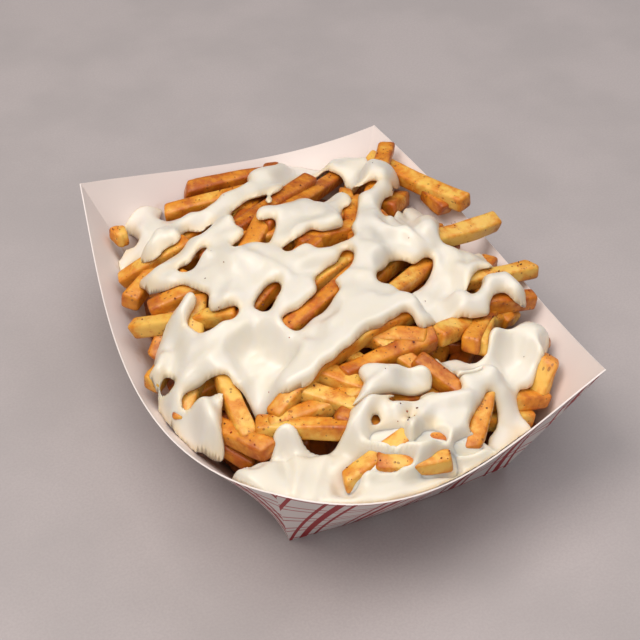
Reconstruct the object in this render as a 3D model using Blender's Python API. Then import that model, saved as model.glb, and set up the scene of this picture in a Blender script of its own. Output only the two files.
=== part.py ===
"""Seasoned fries under a thick white sauce, heaped in a folded paper food boat.

Metres, +Z up. The origin is the middle of the boat's flat bottom and +Y runs along the boat.
The near end of the boat is at -Y. Three pieces: boat, fries and sauce.
"""

import math
import random

import bmesh
import bpy
import numpy as np
from mathutils import Vector

MM = 0.001

# Boat: a size that holds three pounds, its walls bowed out and its rim dipped by the load
BOARD = 0.6 * MM
BASE_HALF_X = 43.0 * MM
BASE_HALF_Y = 69.4 * MM
BASE_FRONT_BOW = 2.0 * MM
RIM_CORNERS = (
    (-56.3 * MM, -92.0 * MM, 52.0 * MM),
    (64.7 * MM, -89.0 * MM, 56.4 * MM),
    (64.7 * MM, 89.0 * MM, 48.7 * MM),
    (-64.7 * MM, 89.0 * MM, 55.1 * MM),
)
BASE_CORNERS = ((-1, -1), (1, -1), (1, 1), (-1, 1))
# For each wall from its first corner to the next: outward direction, dip and bow of the rim, skew of both
WALLS = (
    ((0, -1), 11.3 * MM, 11.2 * MM, 0.34, -0.93),
    ((1, 0), 15.1 * MM, 12.5 * MM, -0.05, 0.19),
    ((0, 1), 12.0 * MM, 10.6 * MM, -0.25, 0.09),
    ((-1, 0), 16.5 * MM, 16.5 * MM, 0.32, 0.41),
)
WALL_COLUMNS = 12
WALL_ROWS = 4

# Heap: a plain core, a layer of fries on it at random and then the fries that show
GAP = 0.3 * MM
WALL_CLEARANCE = 1.6 * MM
CORE_EDGE = 18.0 * MM
CORE_TOP = 42.0 * MM
CORE_HALF_X = 72.0 * MM
CORE_HALF_Y = 100.0 * MM
CORE_SPOKES = 32
CORE_RINGS = 5
FRY_WIDTH = 7.6 * MM
FRY_DEPTH = 7.2 * MM
FRY_CHAMFER = 1.3 * MM
FRY_SINK = 0.9 * MM
STEEPEST = 0.6
HEAP_EDGE = 31.0 * MM
HEAP_TOP = 58.0 * MM
END_RISE = 8.0 * MM
NEAR_RISE = 3.0 * MM
HEAP_OVER = 3.0 * MM
HEAP_UNDER = 8.0 * MM
MOST_RISE = 1.5 * MM
HIDDEN_TRIES = 400
HIDDEN_UNDER = 5.5 * MM
HIDDEN_LENGTH = (38.0 * MM, 78.0 * MM)
SEED = 11

# View that the shown fries and the sauce's edge are placed by, in pixels of a square of 640
VIEW_TARGET = Vector((2.7 * MM, 6.9 * MM, 25.0 * MM))
VIEW_DISTANCE = 530.8 * MM
VIEW_ELEVATION = math.radians(40.54)
VIEW_AZIMUTH = math.radians(-24.01)
VIEW_FOCAL = 1385.9
VIEW_CENTRE = 320.0

# Shown fries, lowest first: both ends of what shows, width that the sauce leaves open, hidden stretch past each end,
# and for a fry that leans out or in how many millimetres its ends are above the heap. A width below zero marks a
# fry that holds up the sauce and doesn't show.
SHOWN_FRIES = (
    (185, 192, 240, 181, 15, 0, 30),
    (165, 214, 210, 203, 14, 0, 50),
    (114, 243, 128, 240, 19, 0, 60),
    (133, 299, 143, 288, 12, 6, 70),
    (122, 284, 178, 252, 16, 0, 40),
    (155, 360, 164, 338, 16, 0, 70),
    (186, 236, 208, 222, 7, 30, 40),
    (183, 268, 208, 245, 5, 40, 50),
    (210, 324, 230, 309, 12, 40, 60),
    (198, 326, 200, 298, 12, 60, 0),
    (150, 311, 192, 294, 17, 0, 50),
    (134, 328, 178, 322, 20, 0, 60),
    (240, 216, 256, 193, 14, 60, 30),
    (236, 245, 264, 240, 9, 40, 60),
    (313, 193, 335, 178, 15, 60, 14),
    (284, 198, 306, 183, 15, 60, 4),
    (266, 219, 256, 238, 22, 0, 80),
    (289, 246, 312, 233, 7, 50, 60),
    (316, 240, 346, 231, 14, 20, 40),
    (345, 194, 350, 214, 17, 0, 70),
    (360, 187, 377, 179, 5, 60, 50),
    (386, 147, 382, 160, 14, 0, 60, 12, 0),
    (425, 204, 446, 222, 11, 60, 4),
    (397, 171, 466, 203, 18, 30, 0, 7, 13),
    (448, 234, 496, 221, 18, 40, 0, 4, 15),
    (387, 210, 402, 198, 13, 50, 60),
    (318, 278, 330, 271, 6, 50, 50),
    (332, 270, 348, 258, 14, 60, 40),
    (382, 277, 400, 262, 12, 50, 50),
    (405, 282, 428, 264, 15, 50, 30),
    (262, 301, 276, 286, 15, 50, 60),
    (290, 324, 329, 292, 14, 20, 60),
    (475, 290, 488, 271, 15, 50, 20),
    (507, 273, 532, 268, 16, 50, 0, 3, 13),
    (498, 308, 508, 320, 15, 60, 4),
    (505, 303, 534, 300, 20, 50, 0, 3, 12),
    (480, 348, 488, 321, 13, 0, 70),
    (470, 346, 478, 334, 12, 0, 60),
    (436, 337, 485, 323, 20, 0, 50),
    (395, 352, 410, 364, 12, 50, 10),
    (370, 364, 398, 352, 13, 30, 40),
    (347, 356, 374, 374, 18, 50, 8),
    (346, 382, 375, 394, 13, 50, 20),
    (298, 416, 330, 404, 13, 30, 50),
    (310, 392, 362, 409, 18, 30, 14),
    (392, 398, 422, 395, 7, 40, 50),
    (431, 371, 461, 393, 16, 20, 10),
    (364, 422, 438, 440, 12, 30, 12),
    (500, 346, 547, 338, -20, 20, 0, -2, 10),
    (471, 452, 476, 428, 17, 0, 50),
    (472, 419, 529, 416, 20, 30, 0, 0, -8),
    (486, 401, 534, 399, 16, 30, 10, 0, -4),
    (551, 357, 536, 404, 16, 0, 0, 12, -5),
    (153, 398, 165, 382, 15, 0, 60),
    (191, 395, 222, 378, 10, 20, 50),
    (186, 411, 190, 399, 10, 10, 50),
    (234, 452, 252, 462, 18, 30, 0),
    (224, 430, 268, 450, 15, 20, 4),
    (236, 406, 250, 438, 24, 40, 0),
    (285, 428, 346, 430, 20, 30, 4),
    (344, 484, 371, 464, 22, 0, 50),
    (375, 464, 452, 460, 20, 0, 0),
    (370, 338, 424, 339, 18, 40, 2),
)
# The long curved fry on top: its ends, the width left open, and how far it arches up
TOP_FRY = (274, 418, 402, 321, 20, 0, 16)
TOP_FRY_ARCH = 6.5 * MM

# Sauce: one blanket over the heap with openings where the fries show
SAUCE_PITCH = 3.5 * MM
SAUCE_THICKNESS = 2.2 * MM
SAUCE_REST = 0.4 * MM
SAUCE_CLIMB = 4.0 * MM
POOL_LEVEL = 40.0 * MM
SAUCE_EDGE = (
    (117, 204), (128, 200), (160, 206), (185, 214), (208, 205), (224, 187), (240, 177), (262, 167), (300, 160),
    (340, 152), (372, 149), (388, 156), (394, 172), (408, 186), (428, 208), (446, 226), (458, 250), (480, 257),
    (498, 262), (518, 277), (528, 296), (514, 306), (520, 322), (545, 320), (554, 336), (546, 356), (534, 384),
    (536, 404), (522, 436), (502, 452), (470, 470), (430, 485), (390, 497), (350, 502), (300, 496), (262, 492),
    (236, 480), (206, 456), (176, 436), (160, 414), (146, 388), (140, 372), (152, 356), (130, 320), (114, 282),
    (111, 258), (122, 244),
)
# The pool of sauce at the near end, which fills the boat there almost to the rim
SAUCE_POOL = (
    (240, 472), (262, 452), (300, 452), (345, 447), (400, 446), (460, 448), (504, 452), (500, 470), (430, 494),
    (390, 504), (350, 508), (300, 503), (262, 498),
)
# Strands of sauce that cross the openings: both ends and the width
SAUCE_STRANDS = (
    (158, 372, 172, 336, 15), (172, 336, 190, 298, 13), (376, 374, 366, 408, 17), (366, 372, 424, 376, 18),
    (362, 412, 352, 445, 18), (345, 448, 460, 447, 14), (390, 412, 474, 398, 20), (412, 430, 424, 408, 16),
    (470, 398, 448, 446, 20), (440, 444, 402, 476, 13), (507, 388, 509, 414, 20), (509, 414, 497, 434, 12),
    (509, 414, 526, 428, 12), (490, 280, 512, 280, 14), (512, 280, 523, 298, 13), (203, 410, 224, 452, 16),
    (246, 476, 275, 484, 26), (286, 442, 300, 478, 30), (460, 456, 500, 456, 14), (484, 360, 500, 390, 14),
)

SAUCE_CREAM = (0.86, 0.80, 0.68)
FRY_GOLD = (0.66, 0.36, 0.11)
BOARD_WHITE = (0.78, 0.72, 0.70)


def clear_scene():
    """Removes every object that is in the scene."""
    for item in list(bpy.data.objects):
        bpy.data.objects.remove(item, do_unlink=True)


def surface(name, colour, roughness):
    """A plain material of one colour."""
    material = bpy.data.materials.new(name)
    material.use_nodes = True
    shader = material.node_tree.nodes["Principled BSDF"]
    shader.inputs["Base Color"].default_value = (*colour, 1.0)
    shader.inputs["Roughness"].default_value = roughness
    shader.inputs["Metallic"].default_value = 0.0
    return material


def place(name, mesh, material):
    """A named object of this mesh in the scene."""
    item = bpy.data.objects.new(name, mesh)
    mesh.materials.append(material)
    bpy.context.scene.collection.objects.link(item)
    return item


def base_point(wall, t):
    """Point of the boat's base edge on a wall, t from -1 at its first corner to 1."""
    ends = [BASE_CORNERS[wall], BASE_CORNERS[(wall + 1) % 4]]
    start, end = (Vector((x * BASE_HALF_X, y * BASE_HALF_Y, 0.0)) for x, y in ends)
    point = start.lerp(end, (1 + t) / 2)
    if wall == 0:
        point.y -= BASE_FRONT_BOW * (1 - t * t)
    return point


def rim_point(wall, t):
    """Point of the rim on a wall: straight between the corners, then bowed out and dipped."""
    outward, dip, bow, dip_skew, bow_skew = WALLS[wall]
    start, end = Vector(RIM_CORNERS[wall]), Vector(RIM_CORNERS[(wall + 1) % 4])
    point = start.lerp(end, (1 + t) / 2)
    swell = 1 - t * t
    point += Vector((*outward, 0.0)) * bow * swell * (1 + bow_skew * t)
    point.z -= dip * swell * (1 + dip_skew * t)
    return point


def wall_point(wall, t, rise):
    """Point of a wall's outer face, rise from 0 at the base to 1 at the rim."""
    return base_point(wall, t).lerp(rim_point(wall, t), rise)


def boat():
    """The boat as one shell of board: four walls on a flat bottom, thickened inwards."""
    bm = bmesh.new()
    columns = [
        (wall, -1 + 2 * step / WALL_COLUMNS) for wall in range(4) for step in range(WALL_COLUMNS)
    ]
    rings = [
        [bm.verts.new(wall_point(wall, t, row / WALL_ROWS)) for wall, t in columns]
        for row in range(WALL_ROWS + 1)
    ]
    for low, high in zip(rings, rings[1:]):
        for i in range(len(columns)):
            j = (i + 1) % len(columns)
            bm.faces.new((low[i], low[j], high[j], high[i]))
    bm.faces.new(list(reversed(rings[0])))
    mesh = bpy.data.meshes.new("boat")
    bm.to_mesh(mesh)
    bm.free()
    item = place("boat", mesh, surface("coated paper board", BOARD_WHITE, 0.55))
    shell = item.modifiers.new("board", "SOLIDIFY")
    shell.thickness = BOARD
    shell.offset = -1.0
    shell.use_even_offset = True
    return item


class Ground:
    """Heights on a grid of 1 mm: the boat's inside, and the top of the food that is laid in it."""

    STEP = 1.0 * MM
    HALF_X = 100
    HALF_Y = 125
    EMPTY = -1.0

    def __init__(self):
        shape = (2 * self.HALF_X + 1, 2 * self.HALF_Y + 1)
        self.x = (np.arange(shape[0]) - self.HALF_X)[:, None] * self.STEP * np.ones(shape)
        self.y = (np.arange(shape[1]) - self.HALF_Y)[None, :] * self.STEP * np.ones(shape)
        self.boat = self.boat_heights(shape)
        self.inside = self.boat > self.EMPTY
        self.core = np.where(self.inside, core_height(self.x, self.y), self.EMPTY)
        self.food = np.where(self.core > self.boat, self.core, self.EMPTY)

    def index(self, x, y):
        """Grid cells of points."""
        i = np.rint(np.asarray(x) / self.STEP).astype(int) + self.HALF_X
        j = np.rint(np.asarray(y) / self.STEP).astype(int) + self.HALF_Y
        return np.clip(i, 0, 2 * self.HALF_X), np.clip(j, 0, 2 * self.HALF_Y)

    def boat_heights(self, shape):
        """Height of the boat's inner face with its clearance, and EMPTY outside the rim."""
        heights = np.full(shape, self.EMPTY)
        flat = (abs(self.x) <= BASE_HALF_X) & (abs(self.y) <= BASE_HALF_Y)
        heights[flat] = BOARD + GAP
        across, up = np.linspace(-1, 1, 421), np.linspace(0, 1, 91)
        for wall in range(4):
            for t in across:
                base, rim = base_point(wall, t), rim_point(wall, t)
                i, j = self.index(base.x + (rim.x - base.x) * up, base.y + (rim.y - base.y) * up)
                z = base.z + (rim.z - base.z) * up + WALL_CLEARANCE
                np.maximum.at(heights, (i, j), z)
        return heights

    def support(self, x, y):
        """Height that something rests at over these points."""
        cells = self.index(x, y)
        return np.maximum(self.boat[cells], self.food[cells] - FRY_SINK)

    def lay(self, fry):
        """Raises the food to the top of a fry."""
        along, across = fry.local(self.x, self.y)
        under = (abs(along) <= fry.length / 2) & (abs(across) <= fry.width / 2)
        top = fry.height(along) + fry.depth / 2
        self.food[under] = np.maximum(self.food[under], top[under])


def dome(x, y, edge, top):
    """Height of a dome over the boat, from its edge along the walls to its top."""
    spread = np.clip((x / CORE_HALF_X) ** 2 + (y / CORE_HALF_Y) ** 2, 0, 1)
    along = np.clip(y / CORE_HALF_Y, -1, 1)
    rim = edge + (END_RISE - NEAR_RISE * along) * along**2
    return rim + (top - rim) * (1 - spread) ** 0.8


def core_height(x, y):
    """Top of the plain core."""
    return dome(x, y, CORE_EDGE, CORE_TOP)


def heap_height(x, y):
    """Top of the heap of fries, on the whole."""
    return dome(x, y, HEAP_EDGE, HEAP_TOP)


def view_axes():
    """Directions of the view: right, up and back towards the eye."""
    level = math.cos(VIEW_ELEVATION)
    back = Vector((math.sin(VIEW_AZIMUTH) * level, -math.cos(VIEW_AZIMUTH) * level, math.sin(VIEW_ELEVATION)))
    right = Vector((math.cos(VIEW_AZIMUTH), math.sin(VIEW_AZIMUTH), 0.0))
    return right, back.cross(right), back


def from_view(px, py, z):
    """Point at height z that shows at a pixel of the view."""
    right, up, back = view_axes()
    eye = VIEW_TARGET + back * VIEW_DISTANCE
    ray = right * (px - VIEW_CENTRE) + up * (VIEW_CENTRE - py) - back * VIEW_FOCAL
    return eye + ray * ((z - eye.z) / ray.z)


def to_view(x, y, z):
    """Pixels at which points show, as two arrays."""
    right, up, back = (np.array(axis) for axis in view_axes())
    offset = np.stack([x, y, z], axis=-1) - np.array(VIEW_TARGET)
    far = VIEW_DISTANCE - offset @ back
    return VIEW_CENTRE + VIEW_FOCAL * (offset @ right) / far, VIEW_CENTRE - VIEW_FOCAL * (offset @ up) / far


class Fry:
    """A straight or arched bar, laid level across and resting on the ground under it."""

    def __init__(self, start, end, width, depth, arch=0.0):
        self.centre = (start + end) / 2
        flat = (end - start).to_2d()
        self.length = flat.length
        self.heading = flat.normalized()
        self.width = width
        self.depth = depth
        self.arch = arch
        self.slope = (end.z - start.z) / self.length

    def local(self, x, y):
        """Distance along and across the fry of points."""
        dx, dy = x - self.centre.x, y - self.centre.y
        return (
            dx * self.heading.x + dy * self.heading.y,
            dy * self.heading.x - dx * self.heading.y,
        )

    def height(self, along):
        """Height of the middle line."""
        return self.centre.z + self.slope * along + self.arch * (1 - (2 * along / self.length) ** 2)

    def point(self, along):
        """Point of the middle line."""
        flat = self.centre.to_2d() + self.heading * along
        return Vector((flat.x, flat.y, self.height(along)))

    def needed(self, heights_at):
        """Places along the fry, and the lowest height that its straight underside may have over each."""
        along = np.linspace(-0.5, 0.5, 61) * self.length
        need = np.full(along.shape, Ground.EMPTY)
        for across in (-0.5, 0.0, 0.5):
            x = self.centre.x + self.heading.x * along - self.heading.y * across * self.width
            y = self.centre.y + self.heading.y * along + self.heading.x * across * self.width
            need = np.maximum(need, heights_at(x, y))
        return along, need - self.arch * (1 - (2 * along / self.length) ** 2)

    def inside_boat(self, ground):
        """How far the fry has to rise to clear the boat."""
        along, need = self.needed(lambda x, y: ground.boat[ground.index(x, y)])
        under = self.centre.z + self.slope * along - self.depth / 2
        return float(np.max(need - under))

    def settle(self, ground):
        """Lowers the fry until it rests on a point at each side of its middle."""
        along, need = self.needed(ground.support)
        left, right = along < 0, along > 0
        run = along[right][None, :] - along[left][:, None]
        rise = need[right][None, :] - need[left][:, None]
        slopes = rise / run
        levels = need[left][:, None] - slopes * along[left][:, None]
        best = np.unravel_index(np.argmax(levels), levels.shape)
        self.slope = float(np.clip(slopes[best], -STEEPEST, STEEPEST))
        self.centre.z = float(np.max(need - self.slope * along)) + self.depth / 2


def shown_fry(ground, entry, width, depth, arch=0.0):
    """A fry whose shown stretch lies between two pixels of the view, resting where they fall on the heap."""
    for share in (1.0, 0.8, 0.6, 0.4, 0.2, 0.0):
        fry = fry_on_heap(ground, entry, share, width, depth, arch)
        rise = fry.inside_boat(ground)
        if rise < MOST_RISE:
            break
    fry.centre.z += max(rise, 0.0)
    return fry


def fry_on_heap(ground, entry, share, width, depth, arch):
    """A shown fry with a share of its hidden stretches, near the top of the heap."""
    x0, y0, x1, y1, _, before, after, *raised = entry
    reach = math.hypot(x1 - x0, y1 - y0)
    along = Vector(((x1 - x0) / reach, (y1 - y0) / reach))
    first = Vector((x0, y0)) - along * before * share
    last = Vector((x1, y1)) + along * after * share
    heights = [HEAP_EDGE, HEAP_EDGE]
    for _ in range(6):
        ends = [from_view(*first, heights[0]), from_view(*last, heights[1])]
        heights = [(h + float(heap_height(end.x, end.y))) / 2 for h, end in zip(heights, ends)]
    if raised:
        heights = [h + lift * MM for h, lift in zip(heights, raised)]
        return Fry(from_view(*first, heights[0]), from_view(*last, heights[1]), width, depth, arch)
    fry = Fry(*ends, width, depth, arch)
    fry.settle(ground)
    rests = [fry.height(-fry.length / 2), fry.height(fry.length / 2)]
    heights = [min(max(rest, h - HEAP_UNDER), h + HEAP_OVER) for rest, h in zip(rests, heights)]
    return Fry(from_view(*first, heights[0]), from_view(*last, heights[1]), width, depth, arch)


def hidden_fry(ground, rng):
    """A fry at a random place and heading, or None if it would lie off the boat or stand up out of the heap."""
    middle = Vector((rng.uniform(-62, 62) * MM, rng.uniform(-88, 88) * MM, 0.0))
    heading = rng.uniform(0, math.pi)
    step = Vector((math.cos(heading), math.sin(heading), 0.0)) * rng.uniform(*HIDDEN_LENGTH) / 2
    ends = [middle - step, middle + step]
    fry = Fry(*ends, FRY_WIDTH * rng.uniform(0.85, 1.1), FRY_DEPTH * rng.uniform(0.85, 1.05))
    if not all(ground.inside[ground.index(end.x * 1.06, end.y * 1.06)] for end in ends):
        return None
    fry.settle(ground)
    for along in (-fry.length / 2, 0.0, fry.length / 2):
        spot = fry.point(along)
        if spot.z > heap_height(spot.x, spot.y) - HIDDEN_UNDER:
            return None
    return fry


def laid_fries():
    """All fries in the order that they are laid, and the ground that they leave."""
    rng = random.Random(SEED)
    ground = Ground()
    fries = []
    for _ in range(HIDDEN_TRIES):
        fry = hidden_fry(ground, rng)
        if fry:
            fries.append(fry)
            ground.lay(fry)
    for entry in SHOWN_FRIES:
        width, depth = FRY_WIDTH * rng.uniform(0.92, 1.06), FRY_DEPTH * rng.uniform(0.9, 1.04)
        fries.append(shown_fry(ground, entry, width, depth))
        ground.lay(fries[-1])
    fries.append(shown_fry(ground, TOP_FRY, FRY_WIDTH, FRY_DEPTH, TOP_FRY_ARCH))
    ground.lay(fries[-1])
    return fries, ground


def fry_section(width, depth):
    """Eight corners of a chamfered bar, anticlockwise seen from its start."""
    a, b, c = width / 2, depth / 2, FRY_CHAMFER
    return [(a, -b + c), (a, b - c), (a - c, b), (-a + c, b), (-a, b - c), (-a, -b + c), (-a + c, -b), (a - c, -b)]


def fry_mesh(fry):
    """Closed mesh of a fry: rings of the section along its middle line, with capped ends."""
    bm = bmesh.new()
    stations = 7 if fry.arch else 3
    side = Vector((-fry.heading.y, fry.heading.x, 0.0))
    rings = []
    for i in range(stations):
        along = (i / (stations - 1) - 0.5) * fry.length
        ahead = fry.point(along + MM) - fry.point(along - MM)
        lift = ahead.normalized().cross(side)
        middle = fry.point(along)
        section = fry_section(fry.width, fry.depth)
        rings.append([bm.verts.new(middle + side * across + lift * up) for across, up in section])
    for first, second in zip(rings, rings[1:]):
        for i in range(8):
            j = (i + 1) % 8
            bm.faces.new((first[i], first[j], second[j], second[i]))
    bm.faces.new(list(reversed(rings[0])))
    bm.faces.new(rings[-1])
    bmesh.ops.recalc_face_normals(bm, faces=bm.faces)
    mesh = bpy.data.meshes.new("fry")
    bm.to_mesh(mesh)
    bm.free()
    return mesh


def core_mesh(ground):
    """Closed mesh of the core: its dome above and the boat's inside, with a gap, below."""
    bm = bmesh.new()
    top, low = [], []
    centre_top = bm.verts.new((0, 0, float(core_height(0, 0))))
    centre_low = bm.verts.new((0, 0, BOARD + GAP))
    reaches = np.linspace(0, 0.13, 261)
    for k in range(CORE_SPOKES):
        angle = 2 * math.pi * k / CORE_SPOKES
        x, y = reaches * math.cos(angle), reaches * math.sin(angle)
        open_run = core_height(x, y) > ground.boat[ground.index(x, y)]
        shut = np.argmin(open_run & ground.inside[ground.index(x, y)])
        reach = reaches[shut] - 2 * MM
        top.append([])
        low.append([])
        for ring in range(1, CORE_RINGS + 1):
            r = reach * ring / CORE_RINGS
            px, py = r * math.cos(angle), r * math.sin(angle)
            height = float(core_height(px, py))
            top[-1].append(bm.verts.new((px, py, height)))
            if ring < CORE_RINGS:
                floor = float(ground.boat[ground.index(px, py)])
                low[-1].append(bm.verts.new((px, py, floor)))
        low[-1].append(top[-1][-1])
    for k in range(CORE_SPOKES):
        n = (k + 1) % CORE_SPOKES
        bm.faces.new((centre_top, top[k][0], top[n][0]))
        bm.faces.new((centre_low, low[n][0], low[k][0]))
        for ring in range(CORE_RINGS - 1):
            bm.faces.new((top[k][ring], top[k][ring + 1], top[n][ring + 1], top[n][ring]))
            bm.faces.new((low[k][ring], low[n][ring], low[n][ring + 1], low[k][ring + 1]))
    bmesh.ops.triangulate(bm, faces=bm.faces)
    mesh = bpy.data.meshes.new("fries")
    bm.to_mesh(mesh)
    bm.free()
    return mesh


def pieces_of(bm):
    """Groups of connected vertices."""
    unseen = set(bm.verts)
    groups = []
    while unseen:
        group, edge = set(), [unseen.pop()]
        while edge:
            vert = edge.pop()
            group.add(vert)
            for link in vert.link_edges:
                other = link.other_vert(vert)
                if other in unseen:
                    unseen.discard(other)
                    edge.append(other)
        groups.append(group)
    return groups


def keep_largest(mesh):
    """Drops loose scraps and sealed hollows, so that one closed body is left."""
    bm = bmesh.new()
    bm.from_mesh(mesh)
    bmesh.ops.triangulate(bm, faces=bm.faces)
    groups = sorted(pieces_of(bm), key=len)
    scraps = [vert for group in groups[:-1] for vert in group]
    bmesh.ops.delete(bm, geom=scraps, context="VERTS")
    bm.to_mesh(mesh)
    bm.free()


def heap(fries, ground):
    """The core with all fries fused on, as one object."""
    gold = surface("fried potato", FRY_GOLD, 0.5)
    item = place("fries", core_mesh(ground), gold)
    bars = bpy.data.collections.new("bars")
    bpy.context.scene.collection.children.link(bars)
    for fry in fries:
        bars.objects.link(bpy.data.objects.new("bar", fry_mesh(fry)))
    union = item.modifiers.new("fuse", "BOOLEAN")
    union.operation = "UNION"
    union.operand_type = "COLLECTION"
    union.collection = bars
    union.solver = "MANIFOLD"
    bpy.context.view_layer.update()
    graph = bpy.context.evaluated_depsgraph_get()
    fused = bpy.data.meshes.new_from_object(item.evaluated_get(graph))
    item.modifiers.clear()
    item.data = fused
    for bar in list(bars.objects):
        bpy.data.objects.remove(bar, do_unlink=True)
    bpy.data.collections.remove(bars)
    keep_largest(fused)
    return item


def in_outline(px, py, outline):
    """Whether pixels lie inside a closed outline."""
    inside = np.zeros(px.shape, bool)
    for (x0, y0), (x1, y1) in zip(outline, outline[1:] + outline[:1]):
        if y0 == y1:
            continue
        crosses = (py > y0) != (py > y1)
        inside ^= crosses & (px < x0 + (py - y0) * (x1 - x0) / (y1 - y0))
    return inside


def near_line(px, py, entry):
    """Distance in pixels from the shown stretch of a fry."""
    x0, y0, x1, y1 = entry[:4]
    dx, dy = x1 - x0, y1 - y0
    along = np.clip(((px - x0) * dx + (py - y0) * dy) / (dx * dx + dy * dy), 0, 1)
    return np.hypot(px - x0 - along * dx, py - y0 - along * dy)


def spread_up(heights, cells):
    """The highest value within a number of cells all round."""
    wide = heights.copy()
    for axis in (0, 1):
        base = wide.copy()
        for shift in range(1, cells + 1):
            for way in (-shift, shift):
                wide = np.maximum(wide, np.roll(base, way, axis))
    return wide


def blur(heights, cells, passes):
    """Running mean over a number of cells each way, repeated."""
    for _ in range(passes):
        for axis in (0, 1):
            heights = sum(np.roll(heights, shift, axis) for shift in range(-cells, cells + 1)) / (2 * cells + 1)
    return heights


def sauce_cells(ground, high):
    """Corners of the sauce's grid that it covers: inside its edge and clear of the openings."""
    px, py = to_view(ground.x, ground.y, high)
    covered = in_outline(px, py, SAUCE_EDGE) & ground.inside
    for entry in SHOWN_FRIES + (TOP_FRY,):
        covered &= near_line(px, py, entry) > entry[4] / 2
    for entry in SAUCE_STRANDS:
        covered |= near_line(px, py, entry) < entry[4] / 2
    return covered & ground.inside


def sauce(ground):
    """The blanket of sauce: a top and a bottom sheet over the covered cells, joined at every edge."""
    reach = math.ceil(SAUCE_PITCH / ground.STEP)
    top = np.maximum(ground.food, ground.boat)
    walls = spread_up(ground.boat, reach)
    under = np.maximum(blur(spread_up(ground.food, reach + 3), 2, 1), walls) + SAUCE_REST
    over = under + SAUCE_THICKNESS
    covered = sauce_cells(ground, blur(np.maximum(top, 0), 3, 2))
    covered &= walls < heap_height(ground.x, ground.y) + SAUCE_CLIMB
    level = np.full(top.shape, POOL_LEVEL)
    pool = in_outline(*to_view(ground.x, ground.y, level), SAUCE_POOL) & ground.inside
    pool &= under < POOL_LEVEL - SAUCE_REST
    over = np.where(pool, np.maximum(over, POOL_LEVEL), over)
    mesh = blanket_mesh(ground, (under, over), covered | pool)
    item = place("sauce", mesh, surface("white garlic sauce", SAUCE_CREAM, 0.25))
    keep_largest(mesh)
    return item


def fill_diagonals(filled):
    """Fills the cells round each corner where two filled cells meet by that corner alone."""
    while True:
        low, high = filled[:-1, :-1] & filled[1:, 1:], filled[1:, :-1] & filled[:-1, 1:]
        any_low, any_high = filled[:-1, :-1] | filled[1:, 1:], filled[1:, :-1] | filled[:-1, 1:]
        pinched = (low & ~any_high) | (high & ~any_low)
        if not pinched.any():
            return
        for i, j in zip(*np.nonzero(pinched)):
            filled[i : i + 2, j : j + 2] = True


def round_edges(corners, links):
    """Draws each corner on an edge of the blanket towards its two neighbours there."""
    for _ in range(2):
        drawn = {}
        for at, others in links.items():
            middle = sum((corners[*other, 0].co for other in others), Vector()) / len(others)
            drawn[at] = (middle - corners[*at, 0].co) * 0.4
        for at, move in drawn.items():
            for level in (0, 1):
                corners[*at, level].co.x += move.x
                corners[*at, level].co.y += move.y


def blanket_mesh(ground, sheets, covered):
    """Closed mesh of square cells over the covered places."""
    columns = int(2 * ground.HALF_X * ground.STEP / SAUCE_PITCH)
    rows = int(2 * ground.HALF_Y * ground.STEP / SAUCE_PITCH)
    xs = (np.arange(columns + 1) - columns / 2) * SAUCE_PITCH
    ys = (np.arange(rows + 1) - rows / 2) * SAUCE_PITCH
    mx, my = np.meshgrid((xs[1:] + xs[:-1]) / 2, (ys[1:] + ys[:-1]) / 2, indexing="ij")
    filled = covered[ground.index(mx, my)]
    fill_diagonals(filled)
    bm = bmesh.new()
    corners = {}

    def corner(i, j, level):
        if (i, j, level) not in corners:
            z = float(sheets[level][ground.index(xs[i], ys[j])])
            corners[i, j, level] = bm.verts.new((xs[i], ys[j], z))
        return corners[i, j, level]

    links = {}
    for i, j in zip(*np.nonzero(filled)):
        around = [(i, j), (i + 1, j), (i + 1, j + 1), (i, j + 1)]
        sides = [(i, j - 1), (i + 1, j), (i, j + 1), (i - 1, j)]
        bm.faces.new([corner(*at, 1) for at in around])
        bm.faces.new([corner(*at, 0) for at in reversed(around)])
        for k, side in enumerate(sides):
            if not filled[side]:
                here, there = around[k], around[(k + 1) % 4]
                bm.faces.new((corner(*here, 0), corner(*there, 0), corner(*there, 1), corner(*here, 1)))
                links.setdefault(here, []).append(there)
                links.setdefault(there, []).append(here)
    round_edges(corners, links)
    mesh = bpy.data.meshes.new("sauce")
    bm.to_mesh(mesh)
    bm.free()
    return mesh


clear_scene()
boat()
fries, ground = laid_fries()
heap(fries, ground)
sauce(ground)
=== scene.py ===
"""Photoreal scene of seasoned fries under thick white sauce in a paper food boat.

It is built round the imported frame, in the frame's own coordinates: metres, +Z up, +Y along the boat.
The heap is laid by the same rules as in the frame, so each fry and each opening in the sauce is in the
same place.
"""

import logging
import math
import random
from dataclasses import dataclass
from enum import Enum
from typing import Callable, Optional, Sequence

import bpy
import numpy as np
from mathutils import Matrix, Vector


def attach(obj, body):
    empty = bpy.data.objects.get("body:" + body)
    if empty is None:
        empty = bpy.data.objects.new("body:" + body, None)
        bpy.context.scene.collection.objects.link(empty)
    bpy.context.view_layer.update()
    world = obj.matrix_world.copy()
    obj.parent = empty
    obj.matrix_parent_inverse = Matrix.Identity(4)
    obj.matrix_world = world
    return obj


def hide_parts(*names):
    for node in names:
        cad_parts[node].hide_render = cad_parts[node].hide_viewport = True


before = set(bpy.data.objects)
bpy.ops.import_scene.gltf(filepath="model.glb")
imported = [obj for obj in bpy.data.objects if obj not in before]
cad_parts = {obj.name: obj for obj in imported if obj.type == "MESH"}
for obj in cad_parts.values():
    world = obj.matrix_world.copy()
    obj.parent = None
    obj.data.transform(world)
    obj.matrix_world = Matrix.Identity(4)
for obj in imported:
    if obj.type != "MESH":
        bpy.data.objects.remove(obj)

MM = 0.001
LOG = logging.getLogger("fries")

Pixel = tuple[float, float]
Cell = tuple[int, int]
Faces = list[tuple[int, ...]]
Array = np.ndarray
Tree = bpy.types.NodeTree
Socket = bpy.types.NodeSocket


# Helpers for colour, nodes and meshes


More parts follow.
